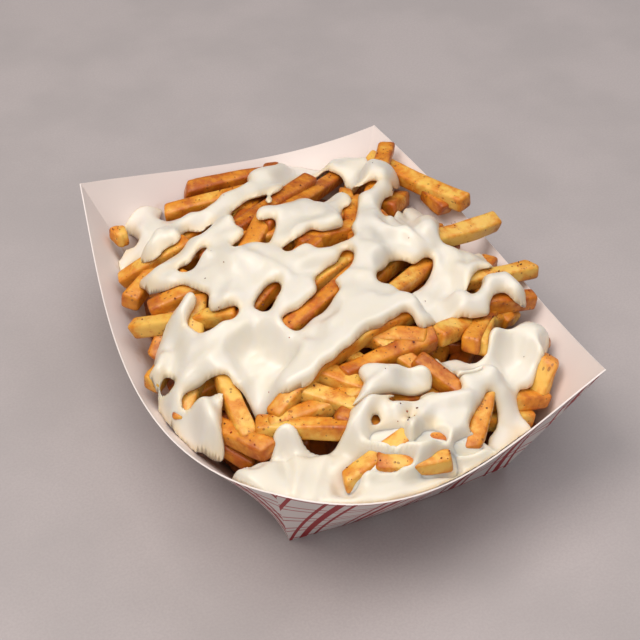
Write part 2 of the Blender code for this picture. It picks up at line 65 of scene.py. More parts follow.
def linear(colour: str) -> tuple[float, float, float, float]:
    """Converts a colour from sRGB hex to the scene's linear values.

    Args:
        colour: six hex digits, such as "E0B870".

    Returns:
        Red, green, blue and an alpha of 1.
    """
    parts = [int(colour[i : i + 2], 16) / 255 for i in (0, 2, 4)]
    red, green, blue = (c / 12.92 if c <= 0.04045 else ((c + 0.055) / 1.055) ** 2.4 for c in parts)
    return red, green, blue, 1.0


def feed(node: bpy.types.Node, settings: dict[str, object], links: dict[str, Socket]) -> None:
    """Sets up one shader node.

    Args:
        node: the node.
        settings: values by the name of a property or of an input.
        links: sockets that feed the inputs, by input name.
    """
    for name, value in settings.items():
        if hasattr(node, name):
            setattr(node, name, value)
        else:
            node.inputs[name].default_value = value
    for name, socket in links.items():
        node.id_data.links.new(socket, node.inputs[name])


def add_node(
    tree: Tree,
    kind: str,
    settings: Optional[dict[str, object]] = None,
    links: Optional[dict[str, Socket]] = None,
) -> bpy.types.Node:
    """Adds one shader node.

    Args:
        tree: node tree of the material.
        kind: type of the node without its "ShaderNode".
        settings: values by the name of a property or of an input.
        links: sockets that feed the inputs, by input name.

    Returns:
        The new node.
    """
    node = tree.nodes.new("ShaderNode" + kind)
    feed(node, settings or {}, links or {})
    return node


def attribute(tree: Tree, name: str) -> bpy.types.Node:
    """Adds a node that reads an attribute of the mesh.

    Args:
        tree: node tree of the material.
        name: the attribute.

    Returns:
        The new node.
    """
    return add_node(tree, "Attribute", {"attribute_name": name})


def noise(tree: Tree, place: Socket, size: float, detail: float = 3.0) -> Socket:
    """Adds a noise pattern.

    Args:
        tree: node tree of the material.
        place: coordinates in metres.
        size: size of the pattern's patches in metres.
        detail: levels of finer detail.

    Returns:
        The pattern's value, about 0.3 to 0.7.
    """
    settings = {"Scale": 1 / size, "Detail": detail}
    return add_node(tree, "TexNoise", settings, {"Vector": place}).outputs["Fac"]


def between(
    tree: Tree, value: Socket, low: float, high: float, to_low: float = 0.0, to_high: float = 1.0
) -> Socket:
    """Maps a value smoothly from one span to another, held at its ends.

    Args:
        tree: node tree of the material.
        value: the socket to map.
        low: value that becomes to_low.
        high: value that becomes to_high.
        to_low: result at low.
        to_high: result at high.

    Returns:
        The mapped socket.
    """
    settings = {"interpolation_type": "SMOOTHSTEP"}
    settings |= {"From Min": low, "From Max": high, "To Min": to_low, "To Max": to_high}
    return add_node(tree, "MapRange", settings, {"Value": value}).outputs["Result"]


def mixed(
    tree: Tree, factor: Socket, first: object, second: object, way: str = "MIX"
) -> Socket:
    """Mixes two colours.

    Args:
        tree: node tree of the material.
        factor: share of the second colour.
        first: hex colour or socket.
        second: hex colour or socket.
        way: blend type.

    Returns:
        The mixed colour.
    """
    node = add_node(tree, "Mix", {"data_type": "RGBA", "blend_type": way})
    tree.links.new(factor, node.inputs[0])
    for socket, colour in ((node.inputs[6], first), (node.inputs[7], second)):
        if isinstance(colour, str):
            socket.default_value = linear(colour)
        else:
            tree.links.new(colour, socket)
    return node.outputs[2]


def maths(tree: Tree, operation: str, first: object, second: object = 0.0) -> Socket:
    """Combines two values.

    Args:
        tree: node tree of the material.
        operation: name of the operation.
        first: number or socket.
        second: number or socket.

    Returns:
        The result.
    """
    node = add_node(tree, "Math", {"operation": operation})
    for socket, value in zip(node.inputs, (first, second)):
        if isinstance(value, Socket):
            tree.links.new(value, socket)
        else:
            socket.default_value = value
    return node.outputs[0]


def added(tree: Tree, level: Socket, value: Socket, share: float, middle: float = 0.5) -> Socket:
    """Adds a share of a pattern to a value.

    Args:
        tree: node tree of the material.
        level: the value.
        value: the pattern.
        share: how strongly it counts.
        middle: value of the pattern that changes nothing.

    Returns:
        The sum.
    """
    return maths(tree, "ADD", level, maths(tree, "MULTIPLY", maths(tree, "SUBTRACT", value, middle), share))


def bumped(tree: Tree, relief: Socket, strength: float, distance: float) -> Socket:
    """Turns fine relief into a shading direction.

    Args:
        tree: node tree of the material.
        relief: height pattern.
        strength: strength of the effect.
        distance: height of the relief in metres.

    Returns:
        The direction.
    """
    settings = {"Strength": strength, "Distance": distance}
    return add_node(tree, "Bump", settings, {"Height": relief}).outputs["Normal"]


def new_material(name: str) -> tuple[bpy.types.Material, Tree, bpy.types.Node]:
    """Makes a material with nodes.

    Args:
        name: the real material.

    Returns:
        The material, its tree and its main shader.
    """
    material = bpy.data.materials.new(name)
    material.use_nodes = True
    return material, material.node_tree, material.node_tree.nodes["Principled BSDF"]


def object_place(tree: Tree) -> Socket:
    """Adds the coordinates of the object itself, in metres.

    Args:
        tree: node tree of the material.

    Returns:
        The coordinates.
    """
    return add_node(tree, "TexCoord").outputs["Object"]


def mesh_object(name: str, points: Array, faces: Sequence[Sequence[int]]) -> bpy.types.Object:
    """Makes an object at the origin from points and faces, shaded smooth.

    Args:
        name: name of the object and its mesh.
        points: corners in metres.
        faces: corners of each face.

    Returns:
        The object, in the scene.
    """
    mesh = bpy.data.meshes.new(name)
    mesh.from_pydata([tuple(map(float, p)) for p in points], [], [tuple(map(int, f)) for f in faces])
    mesh.validate()
    item = bpy.data.objects.new(name, mesh)
    bpy.context.scene.collection.objects.link(item)
    select_only(item)
    bpy.ops.object.shade_smooth()
    return item


def ring_faces(rings: int, count: int) -> Faces:
    """Faces between rings of points, one ring after the other.

    Args:
        rings: number of rings.
        count: points in a ring.

    Returns:
        The faces.
    """
    faces = []
    for low in range(0, (rings - 1) * count, count):
        for i in range(count):
            j = (i + 1) % count
            faces.append((low + i, low + j, low + count + j, low + count + i))
    return faces


def select_only(item: bpy.types.Object) -> None:
    """Makes one object the only one selected, and active.

    Args:
        item: the object.
    """
    bpy.ops.object.select_all(action="DESELECT")
    item.select_set(True)
    bpy.context.view_layer.objects.active = item


def store(item: bpy.types.Object, name: str, values: Array) -> None:
    """Stores a value or a vector on each corner point of a mesh.

    Args:
        item: the object.
        name: name of the attribute.
        values: one row for each point.
    """
    vector = values.ndim == 2
    layer = item.data.attributes.new(name, "FLOAT_VECTOR" if vector else "FLOAT", "POINT")
    flat = np.ascontiguousarray(values, np.float32).ravel()
    layer.data.foreach_set("vector" if vector else "value", flat)


def spread_up(heights: Array, cells: int) -> Array:
    """The highest value within a number of cells all round.

    Args:
        heights: grid of values.
        cells: how far to look.

    Returns:
        Grid of the same shape.
    """
    wide = heights.copy()
    for axis in (0, 1):
        base = wide.copy()
        for shift in range(1, cells + 1):
            for way in (-shift, shift):
                wide = np.maximum(wide, np.roll(base, way, axis))
    return wide


def blur(heights: Array, cells: int, passes: int) -> Array:
    """Running mean over a number of cells each way, repeated.

    Args:
        heights: grid of values.
        cells: reach of the mean.
        passes: how often it is taken.

    Returns:
        Grid of the same shape.
    """
    for _ in range(passes):
        for axis in (0, 1):
            moved = (np.roll(heights, shift, axis) for shift in range(-cells, cells + 1))
            heights = sum(moved) / (2 * cells + 1)
    return heights


def waves(x: Array, y: Array, size: float, seed: int, count: int = 7) -> Array:
    """A smooth uneven pattern made of crossing waves.

    Args:
        x: first coordinate.
        y: second coordinate.
        size: length of the waves, in the units of x and y.
        seed: picks the waves.
        count: number of waves.

    Returns:
        Values from about -1 to 1.
    """
    rng = random.Random(seed)
    total = np.zeros(np.broadcast(x, y).shape)
    for _ in range(count):
        heading, phase = rng.uniform(0, 2 * math.pi), rng.uniform(0, 2 * math.pi)
        pace = 2 * math.pi / (size * rng.uniform(0.7, 1.5))
        total = total + np.sin((x * math.cos(heading) + y * math.sin(heading)) * pace + phase)
    return total / math.sqrt(count)


# View that the photo was taken from


@dataclass(frozen=True)
class View:
    """The photo's camera: what it looks at, from where, and its focal length in pixels of a square of 640."""

    target: tuple[float, float, float] = (2.7 * MM, 6.9 * MM, 25.0 * MM)
    distance: float = 530.8 * MM
    elevation: float = math.radians(40.54)
    azimuth: float = math.radians(-24.01)
    focal: float = 1385.9
    centre: float = 320.0
    sensor: float = 36.0

    def axes(self) -> tuple[Vector, Vector, Vector]:
        """Directions of the view.

        Returns:
            Right, up and back towards the eye.
        """
        level = math.cos(self.elevation)
        sine, cosine = math.sin(self.azimuth), math.cos(self.azimuth)
        back = Vector((sine * level, -cosine * level, math.sin(self.elevation)))
        right = Vector((cosine, sine, 0.0))
        return right, back.cross(right), back

    def eye(self) -> Vector:
        """Place of the camera.

        Returns:
            A point in metres.
        """
        return Vector(self.target) + self.axes()[2] * self.distance

    def point(self, px: float, py: float, z: float) -> Vector:
        """Point at a height that shows at a pixel.

        Args:
            px: pixels from the left.
            py: pixels from the top.
            z: the height in metres.

        Returns:
            The point.
        """
        right, up, back = self.axes()
        ray = right * (px - self.centre) + up * (self.centre - py) - back * self.focal
        eye = self.eye()
        return eye + ray * ((z - eye.z) / ray.z)

    def pixels(self, x: Array, y: Array, z: Array) -> tuple[Array, Array]:
        """Pixels at which points show.

        Args:
            x: first coordinates.
            y: second coordinates.
            z: heights.

        Returns:
            Pixels from the left and from the top.
        """
        right, up, back = (np.array(axis) for axis in self.axes())
        offset = np.stack([x, y, z], axis=-1) - np.array(self.target)
        far = self.distance - offset @ back
        across, rise = self.focal * (offset @ right) / far, self.focal * (offset @ up) / far
        return self.centre + across, self.centre - rise

    def camera(self) -> bpy.types.Object:
        """Adds the camera and makes it the scene's own.

        Returns:
            The camera.
        """
        turn = self.axes()[2].to_track_quat("Z", "Y").to_euler()
        bpy.ops.object.camera_add(location=self.eye(), rotation=turn)
        camera = bpy.context.object
        camera.name = "photo_camera"
        camera.data.sensor_width = self.sensor
        camera.data.lens = self.focal / (2 * self.centre) * self.sensor
        camera.data.clip_start = 0.01
        camera.data.clip_end = 20.0
        bpy.context.scene.camera = camera
        return camera


VIEW = View()


# Finishes


@dataclass(frozen=True)
class FriedPotato:
    """Finish of a fry: pale flesh, golden to brown crust, orange seasoning, a little oily gloss."""

    pale: str = "E5B655"
    gold: str = "D58722"
    brown: str = "A8530B"
    burnt: str = "662C08"
    spice: str = "C05C0A"
    speck: str = "6B2F10"
    roughness: float = 0.42
    patchiness: float = 1.5
    mottling: float = 0.7
    crustiness: float = 0.44
    speck_pitch: float = 1.7 * MM

    def material(self) -> bpy.types.Material:
        """Builds the material of fried potato.

        Returns:
            The material.
        """
        material, tree, shader = new_material("fried potato")
        place = attribute(tree, "fry_place").outputs["Vector"]
        tone = attribute(tree, "tone").outputs["Fac"]
        crust = attribute(tree, "crust").outputs["Fac"]
        patches = noise(tree, place, 9 * MM, 2)
        mottle = noise(tree, place, 2.2 * MM, 4)
        fine = noise(tree, place, 0.7 * MM, 3)
        level = added(tree, tone, patches, self.patchiness)
        level = added(tree, level, mottle, self.mottling)
        level = added(tree, level, crust, self.crustiness, 0.0)
        colour = mixed(tree, between(tree, level, 0.1, 0.55), self.pale, self.gold)
        colour = mixed(tree, between(tree, level, 0.5, 1.0), colour, self.brown)
        colour = mixed(tree, between(tree, level, 1.0, 1.5), colour, self.burnt)
        dust = between(tree, noise(tree, place, 4.5 * MM, 5), 0.5, 0.66, 0.0, 0.6)
        grain = between(tree, fine, 0.46, 0.62, 0.25, 1.0)
        colour = mixed(tree, maths(tree, "MULTIPLY", dust, grain), colour, self.spice)
        settings = {"Scale": 1 / self.speck_pitch, "Randomness": 1.0}
        specks = add_node(tree, "TexVoronoi", settings, {"Vector": place})
        size = between(tree, noise(tree, place, 3 * MM, 2), 0.42, 0.7, 0.02, 0.34)
        dots = maths(tree, "LESS_THAN", specks.outputs["Distance"], size)
        colour = mixed(tree, maths(tree, "MULTIPLY", dots, 0.55), colour, self.speck)
        rough = between(tree, mottle, 0.35, 0.65, self.roughness - 0.08, self.roughness + 0.16)
        relief = added(tree, maths(tree, "MULTIPLY", mottle, 0.7), fine, 0.3, 0.0)
        settings = {
            "Subsurface Weight": 0.22,
            "Subsurface Radius": (1.0, 0.45, 0.16),
            "Subsurface Scale": 1.6 * MM,
            "Coat Weight": 0.12,
            "Coat Roughness": 0.3,
        }
        normal = bumped(tree, relief, 0.7, 0.6 * MM)
        feed(shader, settings, {"Base Color": colour, "Roughness": rough, "Normal": normal})
        return material


@dataclass(frozen=True)
class WhiteSauce:
    """Finish of the sauce: creamy white, smooth and glossy, light passing through its thin edges."""

    cream: str = "E0D9CD"
    deep: str = "DBD2BD"
    # Painted light: a yellowish tint of light shining through the sauce's thin edges.
    painted_through_light: str = "E2C48C"
    roughness: float = 0.3

    def material(self) -> bpy.types.Material:
        """Builds the material of garlic sauce.

        Returns:
            The material.
        """
        material, tree, shader = new_material("white garlic sauce")
        place = object_place(tree)
        thin = attribute(tree, "thin").outputs["Fac"]
        pool = attribute(tree, "pool").outputs["Fac"]
        cloud = noise(tree, place, 14 * MM, 2)
        colour = mixed(tree, between(tree, cloud, 0.35, 0.7, 0.0, 0.35), self.cream, self.deep)
        colour = mixed(tree, maths(tree, "MULTIPLY", pool, 0.4), colour, self.deep)
        # Painted light: the thin edges are tinted yellowish, the way light passing through them would look.
        colour = mixed(tree, between(tree, thin, 0.55, 1.0, 0.0, 0.45), colour, self.painted_through_light)
        settings = {
            "Roughness": self.roughness,
            "IOR": 1.42,
            "Subsurface Weight": 0.6,
            "Subsurface Radius": (1.0, 0.82, 0.55),
            "Subsurface Scale": 2.2 * MM,
            "Coat Weight": 0.12,
            "Coat Roughness": 0.15,
        }
        normal = bumped(tree, noise(tree, place, 5 * MM, 3), 0.12, 0.6 * MM)
        feed(shader, settings, {"Base Color": colour, "Normal": normal})
        return material


class BoardSide(Enum):
    """Which surface of the boat's board a material is for."""

    PRINTED = "coated board with red plaid print"
    PLAIN = "coated board inside"
    CUT = "cut edge of board"


@dataclass(frozen=True)
class PaperBoard:
    """Finish of the boat: white coated board, plaid outside, a little grease inside."""

    white: str = "E4DCD9"
    red: str = "A5141F"
    thin_red: str = "B5333A"
    inside: str = "E6D9D4"
    grease: str = "CFAE93"
    edge: str = "EFE7E1"
    across_every: float = 19.0 * MM
    thick: float = 2.7 * MM
    thin: float = 1.3 * MM
    beside: float = 4.4 * MM
    along_every: float = 14.5 * MM
    pair: float = 2.1 * MM
    line: float = 0.9 * MM

    def stripe(self, tree: Tree, value: Socket, every: float, at: float, width: float) -> Socket:
        """A stripe that repeats along a coordinate.

        Args:
            tree: node tree of the material.
            value: the coordinate in metres.
            every: distance from one stripe to the next.
            at: where the stripe's middle lies.
            width: width of the stripe.

        Returns:
            1 on the stripe and 0 beside it.
        """
        moved = maths(tree, "PINGPONG", maths(tree, "SUBTRACT", value, at), every / 2)
        return between(tree, moved, width / 2 - 0.08 * MM, width / 2 + 0.08 * MM, 1.0, 0.0)

    def printed(self, tree: Tree) -> Socket:
        """The plaid: broad stripes with a thin one at each side, crossed by pairs of thin lines.

        Args:
            tree: node tree of the material.

        Returns:
            The colour.
        """
        place = add_node(tree, "UVMap", {"uv_map": "sheet"}).outputs["UV"]
        sheet = add_node(tree, "SeparateXYZ", None, {"Vector": place})
        along, rise = sheet.outputs["X"], sheet.outputs["Y"]
        red = self.stripe(tree, along, self.across_every, 0.0, self.thick)
        for side in (self.beside, -self.beside):
            mark = self.stripe(tree, along, self.across_every, side, self.thin)
            red = maths(tree, "MAXIMUM", red, mark)
        lines = [self.stripe(tree, rise, self.along_every, at, self.line) for at in (self.pair, -self.pair)]
        colour = mixed(tree, maths(tree, "MAXIMUM", *lines), self.white, self.thin_red)
        return mixed(tree, red, colour, self.red)

    def material(self, side: BoardSide) -> bpy.types.Material:
        """Builds the material of one side of the board.

        Args:
            side: the side.

        Returns:
            The material.
        """
        material, tree, shader = new_material(side.value)
        place = object_place(tree)
        if side is BoardSide.PRINTED:
            colour = self.printed(tree)
        elif side is BoardSide.PLAIN:
            height = add_node(tree, "SeparateXYZ", None, {"Vector": place}).outputs["Z"]
            spread = maths(tree, "MULTIPLY", noise(tree, place, 8 * MM, 4), 26 * MM)
            stain = maths(tree, "ADD", spread, 16 * MM)
            near = between(tree, maths(tree, "SUBTRACT", stain, height), -4 * MM, 6 * MM, 0.0, 0.75)
            colour = mixed(tree, near, self.inside, self.grease)
        else:
            colour = mixed(tree, noise(tree, place, 1 * MM), self.edge, self.inside)
        normal = bumped(tree, noise(tree, place, 0.6 * MM, 3), 0.08, 0.1 * MM)
        settings = {"Roughness": 0.45, "Specular IOR Level": 0.35}
        feed(shader, settings, {"Base Color": colour, "Normal": normal})
        return material


@dataclass(frozen=True)
class Seasoning:
    """Finish of the loose crumbs of seasoning."""

    dark: str = "5A2410"
    red: str = "A2481A"

    def material(self) -> bpy.types.Material:
        """Builds the material of dried seasoning.

        Returns:
            The material.
        """
        material, tree, shader = new_material("dried seasoning")
        patches = between(tree, noise(tree, object_place(tree), 3 * MM), 0.4, 0.6)
        colour = mixed(tree, patches, self.dark, self.red)
        feed(shader, {"Roughness": 0.6}, {"Base Color": colour})
        return material


@dataclass(frozen=True)
class Tabletop:
    """Finish of the floor: pale warm grey, smooth and matt, with faint clouds and grain."""

    grey: str = "AEA5A4"
    darker: str = "A69E9D"
    grained: str = "9D9594"

    def material(self) -> bpy.types.Material:
        """Builds the material of the painted board under the boat.

        Returns:
            The material.
        """
        material, tree, shader = new_material("painted tabletop")
        place = object_place(tree)
        clouds = between(tree, noise(tree, place, 60 * MM, 5), 0.35, 0.65)
        grain = between(tree, noise(tree, place, 0.9 * MM, 2), 0.3, 0.7, 0.0, 0.35)
        colour = mixed(tree, clouds, self.grey, self.darker)
        colour = mixed(tree, grain, colour, self.grained)
        feed(shader, {"Roughness": 0.7, "Specular IOR Level": 0.25}, {"Base Color": colour})
        return material


# The boat


@dataclass(frozen=True)
class Wall:
    """One wall of the boat: its outward direction, the dip and bow of its rim, and the skew of both."""

    outward: tuple[float, float]
    dip: float
    bow: float
    dip_skew: float
    bow_skew: float


@dataclass(frozen=True)
class Boat:
    """The folded paper boat."""

    board: float = 0.6 * MM
    shown_board: float = 0.5 * MM
    half_x: float = 43.0 * MM
    half_y: float = 69.4 * MM
    front_bow: float = 2.0 * MM
    columns: int = 40
    rows: int = 14
    base_corners: tuple = ((-1, -1), (1, -1), (1, 1), (-1, 1))
    rim_corners: tuple = (
        (-56.3 * MM, -92.0 * MM, 52.0 * MM),
        (64.7 * MM, -89.0 * MM, 56.4 * MM),
        (64.7 * MM, 89.0 * MM, 48.7 * MM),
        (-64.7 * MM, 89.0 * MM, 55.1 * MM),
    )
    walls: tuple[Wall, ...] = (
        Wall((0, -1), 11.3 * MM, 11.2 * MM, 0.34, -0.93),
        Wall((1, 0), 15.1 * MM, 12.5 * MM, -0.05, 0.19),
        Wall((0, 1), 12.0 * MM, 10.6 * MM, -0.25, 0.09),
        Wall((-1, 0), 16.5 * MM, 16.5 * MM, 0.32, 0.41),
    )

    def base_point(self, wall: int, t: float) -> Vector:
        """Point of the base edge on a wall.

        Args:
            wall: number of the wall.
            t: from -1 at its first corner to 1.

        Returns:
            The point.
        """
        ends = [self.base_corners[wall], self.base_corners[(wall + 1) % 4]]
        start, end = (Vector((x * self.half_x, y * self.half_y, 0.0)) for x, y in ends)
        point = start.lerp(end, (1 + t) / 2)
        if wall == 0:
            point.y -= self.front_bow * (1 - t * t)
        return point

    def rim_point(self, wall: int, t: float) -> Vector:
        """Point of the rim on a wall: straight between the corners, then bowed out and dipped.

        Args:
            wall: number of the wall.
            t: from -1 at its first corner to 1.

        Returns:
            The point.
        """
        form = self.walls[wall]
        start, end = Vector(self.rim_corners[wall]), Vector(self.rim_corners[(wall + 1) % 4])
        point = start.lerp(end, (1 + t) / 2)
        swell = 1 - t * t
        point += Vector((*form.outward, 0.0)) * form.bow * swell * (1 + form.bow_skew * t)
        point.z -= form.dip * swell * (1 + form.dip_skew * t)
        return point

    def wall_point(self, wall: int, t: float, rise: float) -> Vector:
        """Point of a wall's outer face.

        Args:
            wall: number of the wall.
            t: from -1 at its first corner to 1.
            rise: from 0 at the base to 1 at the rim.

        Returns:
            The point.
        """
        return self.base_point(wall, t).lerp(self.rim_point(wall, t), rise)

    def build(self) -> bpy.types.Object:
        """Builds the walls and the bottom, and thickens them inwards.

        Returns:
            The boat.
        """
        places = [(wall, -1 + 2 * step / self.columns) for wall in range(4) for step in range(self.columns)]
        count = len(places)
        rises = [row / self.rows for row in range(self.rows + 1)]
        points = [self.wall_point(*place, rise) for rise in rises for place in places]
        faces = ring_faces(self.rows + 1, count)
        sheet = []
        for number, face in enumerate(faces):
            wall = places[number % count][0]
            sheet += [self.flat(wall, points[corner]) for corner in face]
        faces.append(tuple(reversed(range(count))))
        sheet += [(points[i].x, points[i].y) for i in faces[-1]]
        item = mesh_object("paper_boat", points, faces)
        layer = item.data.uv_layers.new(name="sheet")
        for loop, place in zip(layer.data, sheet):
            loop.uv = place
        for side in BoardSide:
            item.data.materials.append(PaperBoard().material(side))
        self.thicken(item)
        return item

    def flat(self, wall: int, point: Vector) -> tuple[float, float]:
        """Place of a point of a wall on the flat sheet that the boat is folded from.

        Args:
            wall: number of the wall.
            point: the point.

        Returns:
            Distance along the wall and up its slant.
        """
        if wall % 2 == 0:
            return point.x, math.hypot(abs(point.y) - self.half_y, point.z)
        return point.y, math.hypot(abs(point.x) - self.half_x, point.z)

    def thicken(self, item: bpy.types.Object) -> None:
        """Gives the board its thickness, with a material of its own inside and along the cut edge.

        Args:
            item: the boat's outer skin.
        """
        select_only(item)
        shell = item.modifiers.new("board", "SOLIDIFY")
        shell.thickness = self.shown_board
        shell.offset = -1.0
        shell.use_even_offset = True
        shell.material_offset = 1
        shell.material_offset_rim = 2
        bpy.ops.object.modifier_apply(modifier=shell.name)
        bpy.ops.object.shade_smooth_by_angle(angle=math.radians(28))

    def dress(self, item: bpy.types.Object) -> None:
        """Ties the boat to the frame.

        Args:
            item: the boat.
        """
        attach(item, "root")
        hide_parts("boat")


# The heap of fries


@dataclass(frozen=True)
class HeapSize:
    """Form of the heap and of its fries."""

    gap: float = 0.3 * MM
    wall_clearance: float = 1.6 * MM
    core_edge: float = 18.0 * MM
    core_top: float = 42.0 * MM
    core_half_x: float = 72.0 * MM
    core_half_y: float = 100.0 * MM
    fry_width: float = 7.6 * MM
    fry_depth: float = 7.2 * MM
    fry_sink: float = 0.9 * MM
    steepest: float = 0.6
    heap_edge: float = 31.0 * MM
    heap_top: float = 58.0 * MM
    end_rise: float = 8.0 * MM
    near_rise: float = 3.0 * MM
    heap_over: float = 3.0 * MM
    heap_under: float = 8.0 * MM
    most_rise: float = 1.5 * MM
    hidden_tries: int = 400
    hidden_under: float = 5.5 * MM
    hidden_length: tuple[float, float] = (38.0 * MM, 78.0 * MM)
    filler_tries: int = 420
    filler_half: tuple[float, float] = (17.0, 30.0)
    filler_under: tuple[float, float] = (8.5, 15.0)
    filler_tilt: float = 0.25
    seed: int = 11

    def dome(self, x: Array, y: Array, edge: float, top: float) -> Array:
        """Height of a dome over the boat.

        Args:
            x: first coordinates.
            y: second coordinates.
            edge: height along the walls.
            top: height in the middle.

        Returns:
            Heights.
        """
        spread = np.clip((x / self.core_half_x) ** 2 + (y / self.core_half_y) ** 2, 0, 1)
        along = np.clip(y / self.core_half_y, -1, 1)
        rim = edge + (self.end_rise - self.near_rise * along) * along**2
        return rim + (top - rim) * (1 - spread) ** 0.8

    def core_height(self, x: Array, y: Array) -> Array:
        """Top of the plain core.

        Args:
            x: first coordinates.
            y: second coordinates.

        Returns:
            Heights.
        """
        return self.dome(x, y, self.core_edge, self.core_top)

    def heap_height(self, x: Array, y: Array) -> Array:
        """Top of the heap of fries, on the whole.

        Args:
            x: first coordinates.
            y: second coordinates.

        Returns:
            Heights.
        """
        return self.dome(x, y, self.heap_edge, self.heap_top)


BOAT = Boat()
HEAP = HeapSize()

# Shown fries, lowest first, in pixels of the photo: both ends of what shows, width that the sauce leaves
# open, hidden stretch past each end, and for a fry that leans out or in how many millimetres its ends are
# above the heap. A width below zero marks a fry that holds up the sauce and doesn't show.
SHOWN_FRIES = (
    (185, 192, 240, 181, 15, 0, 30),
    (165, 214, 210, 203, 14, 0, 50),
    (114, 243, 128, 240, 19, 0, 60),
    (133, 299, 143, 288, 12, 6, 70),
    (122, 284, 178, 252, 16, 0, 40),
    (155, 360, 164, 338, 16, 0, 70),
    (186, 236, 208, 222, 7, 30, 40),
    (183, 268, 208, 245, 5, 40, 50),
    (210, 324, 230, 309, 12, 40, 60),
    (198, 326, 200, 298, 12, 60, 0),
    (150, 311, 192, 294, 17, 0, 50),
    (134, 328, 178, 322, 20, 0, 60),
    (240, 216, 256, 193, 14, 60, 30),
    (236, 245, 264, 240, 9, 40, 60),
    (313, 193, 335, 178, 15, 60, 14),
    (284, 198, 306, 183, 15, 60, 4),
    (266, 219, 256, 238, 22, 0, 80),
    (289, 246, 312, 233, 7, 50, 60),
    (316, 240, 346, 231, 14, 20, 40),
    (345, 194, 350, 214, 17, 0, 70),
    (360, 187, 377, 179, 5, 60, 50),
    (386, 147, 382, 160, 14, 0, 60, 12, 0),
    (425, 204, 446, 222, 11, 60, 4),
    (397, 171, 466, 203, 18, 30, 0, 7, 13),
    (448, 234, 496, 221, 18, 40, 0, 4, 15),
    (387, 210, 402, 198, 13, 50, 60),
    (318, 278, 330, 271, 6, 50, 50),
    (332, 270, 348, 258, 14, 60, 40),
    (382, 277, 400, 262, 12, 50, 50),
    (405, 282, 428, 264, 15, 50, 30),
    (262, 301, 276, 286, 15, 50, 60),
    (290, 324, 329, 292, 14, 20, 60),
    (475, 290, 488, 271, 15, 50, 20),
    (507, 273, 532, 268, 16, 50, 0, 3, 13),
    (498, 308, 508, 320, 15, 60, 4),
    (505, 303, 534, 300, 20, 50, 0, 3, 12),
    (480, 348, 488, 321, 13, 0, 70),
    (470, 346, 478, 334, 12, 0, 60),
    (436, 337, 485, 323, 20, 0, 50),
    (395, 352, 410, 364, 12, 50, 10),
    (370, 364, 398, 352, 13, 30, 40),
    (347, 356, 374, 374, 18, 50, 8),
    (346, 382, 375, 394, 13, 50, 20),
    (298, 416, 330, 404, 13, 30, 50),
    (310, 392, 362, 409, 18, 30, 14),
    (392, 398, 422, 395, 7, 40, 50),
    (431, 371, 461, 393, 16, 20, 10),
    (364, 422, 438, 440, 12, 30, 12),
    (500, 346, 547, 338, -20, 20, 0, -2, 10),
    (471, 452, 476, 428, 17, 0, 50),
    (472, 419, 529, 416, 20, 30, 0, 0, -8),
    (486, 401, 534, 399, 16, 30, 10, 0, -4),
    (551, 357, 536, 404, 16, 0, 0, 12, -5),
    (153, 398, 165, 382, 15, 0, 60),
    (191, 395, 222, 378, 10, 20, 50),
    (186, 411, 190, 399, 10, 10, 50),
    (234, 452, 252, 462, 18, 30, 0),
    (224, 430, 268, 450, 15, 20, 4),
    (236, 406, 250, 438, 24, 40, 0),
    (285, 428, 346, 430, 20, 30, 4),
    (344, 484, 371, 464, 22, 0, 50),
    (375, 464, 452, 460, 20, 0, 0),
    (370, 338, 424, 339, 18, 40, 2),
)
# The long curved fry on top, and how far it arches up
TOP_FRY = (274, 418, 402, 321, 20, 0, 16)
TOP_FRY_ARCH = 6.5 * MM
# Fries that are clearly browner or paler than the rest, by their place in the list above
BROWN_FRIES = {0, 12, 14, 15, 21, 30, 35, 40, 45, 56}
PALE_FRIES = {2, 11, 23, 24, 33, 36, 38, 44, 50, 52, 60, 61, 62}


